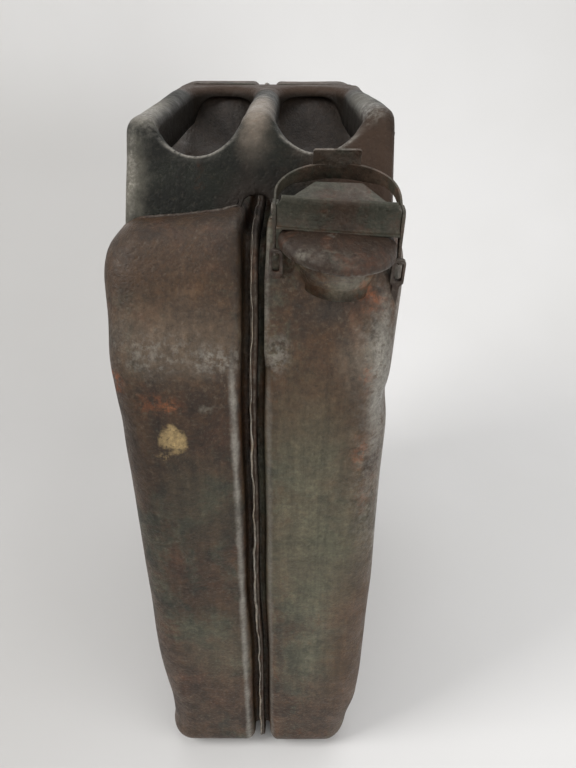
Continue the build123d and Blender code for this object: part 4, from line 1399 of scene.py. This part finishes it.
TWISTED = ["cap_cover_dome", "gasket_disc", "gasket_retainer_plate", "centre_rivet",
           "cap_yoke_frame", "cam_lever", "filler_neck_tube"]
for _, label in SIDES:
    TWISTED += [label + part for part in ("_lever_rivet_head", "_keeper_loop",
                                          "_hinge_pin_turned")]
for name in TWISTED:
    twist(bpy.data.objects[name])

# The breather tube keeps its own mesh and takes the neck's finish
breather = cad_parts["breather_tube"]
breather.data.materials.clear()
breather.data.materials.append(steel_neck)


# --------------------------------------------------- stage, lights and camera
def stage_material():
    """Pale paper with a painted shadow, darker low down on the left."""
    mat = Shader("pale_paper_painted_shadow")
    cloud = mat.ramp(mat.noise(scale=2.2, detail=3, rough=0.5), span=(0.3, 0.7))
    col = mat.mix(cloud, (0.70, 0.70, 0.70), (0.73, 0.73, 0.735))
    # Painted shadow: darker towards the lower left, fading out up the wall.
    x, _, z = mat.position()
    left = mat.ramp(x, span=(0.10, -0.32))
    high = mat.ramp(z, span=(0.30, 0.62))
    left = mat.mul(left, mat.sub(1.0, mat.mul(high, 0.7)))
    col = mat.mix(mat.mul(left, 0.55), col, (0.36, 0.352, 0.342))
    mat.surface({"Base Color": col, "Roughness": 0.85, "Specular IOR Level": 0.2})
    return mat.material


def stage():
    """Floor curving up into a wall behind the can, in metres."""
    radius, curve_start, wall_top, half_width = 0.6, 0.3, 3.5, 4.0
    profile = [(-3.0, 0), (-1.0, 0), (0.0, 0), (curve_start, 0)]
    for angle in np.radians(np.linspace(0, 90, 24)[1:]):
        profile.append((curve_start + radius * math.sin(angle),
                        radius - radius * math.cos(angle)))
    profile.append((0.9, wall_top))
    n = len(profile)
    mesh = bpy.data.meshes.new("sweep")
    mesh.from_pydata([(x, y, z) for x in (-half_width, half_width) for y, z in profile], [],
                     [(i, i + 1, n + i + 1, n + i) for i in range(n - 1)])
    shade_smooth(mesh)
    floor = link(bpy.data.objects.new("studio_sweep", mesh))
    mesh.materials.append(stage_material())


def area_light(name, at, aim, size, watts, colour, size_y=None):
    light = bpy.data.lights.new(name, "AREA")
    light.shape = "RECTANGLE"
    light.size = size
    light.size_y = size_y or size
    light.energy = watts
    light.color = colour
    obj = link(bpy.data.objects.new(name, light))
    obj.location = at
    obj.rotation_euler = (Vector(aim) - Vector(at)).to_track_quat("-Z", "Y").to_euler()


stage()
area_light("key_left", at=(-1.25, -0.55, 1.35), aim=(0, 0, 0.30), size=0.6, size_y=0.9,
           watts=19, colour=(1.0, 0.985, 0.96))
area_light("fill_right", at=(1.5, -1.0, 1.1), aim=(0, 0, 0.20), size=1.1, watts=12,
           colour=(1.0, 0.98, 0.95))
area_light("top", at=(0.2, 0.1, 2.0), aim=(0, 0.1, 0.3), size=1.2, watts=11, colour=(1, 1, 1))
area_light("low_front", at=(0.45, -1.35, 0.35), aim=(0, -0.1, 0.12), size=0.9, watts=5.5,
           colour=(1.0, 0.985, 0.96))

world = bpy.data.worlds.new("soft")
bpy.context.scene.world = world
world.use_nodes = True
background = world.node_tree.nodes["Background"].inputs
background["Color"].default_value = (1.0, 0.99, 0.97, 1)
background["Strength"].default_value = 0.375

CAMERA_AT = (19.6, -275.5, 557.0)                # mm, y from the front wall
PITCH, YAW, ROLL = (math.radians(angle) for angle in (31.42, 0.14, 0.60))
lens = bpy.data.cameras.new("phone")
lens.sensor_width = 36.0
lens.lens = 27.05
lens.clip_start = 0.01
lens.clip_end = 50
camera = link(bpy.data.objects.new("phone", lens))
camera.location = to_metres([CAMERA_AT])[0]
camera.rotation_euler = (Matrix.Rotation(-YAW, 3, "Z")
                         @ Matrix.Rotation(math.radians(90) - PITCH, 3, "X")
                         @ Matrix.Rotation(ROLL, 3, "Z")).to_euler()
bpy.context.scene.camera = camera
bpy.context.scene.view_settings.view_transform = "Standard"
bpy.context.scene.view_settings.look = "None"
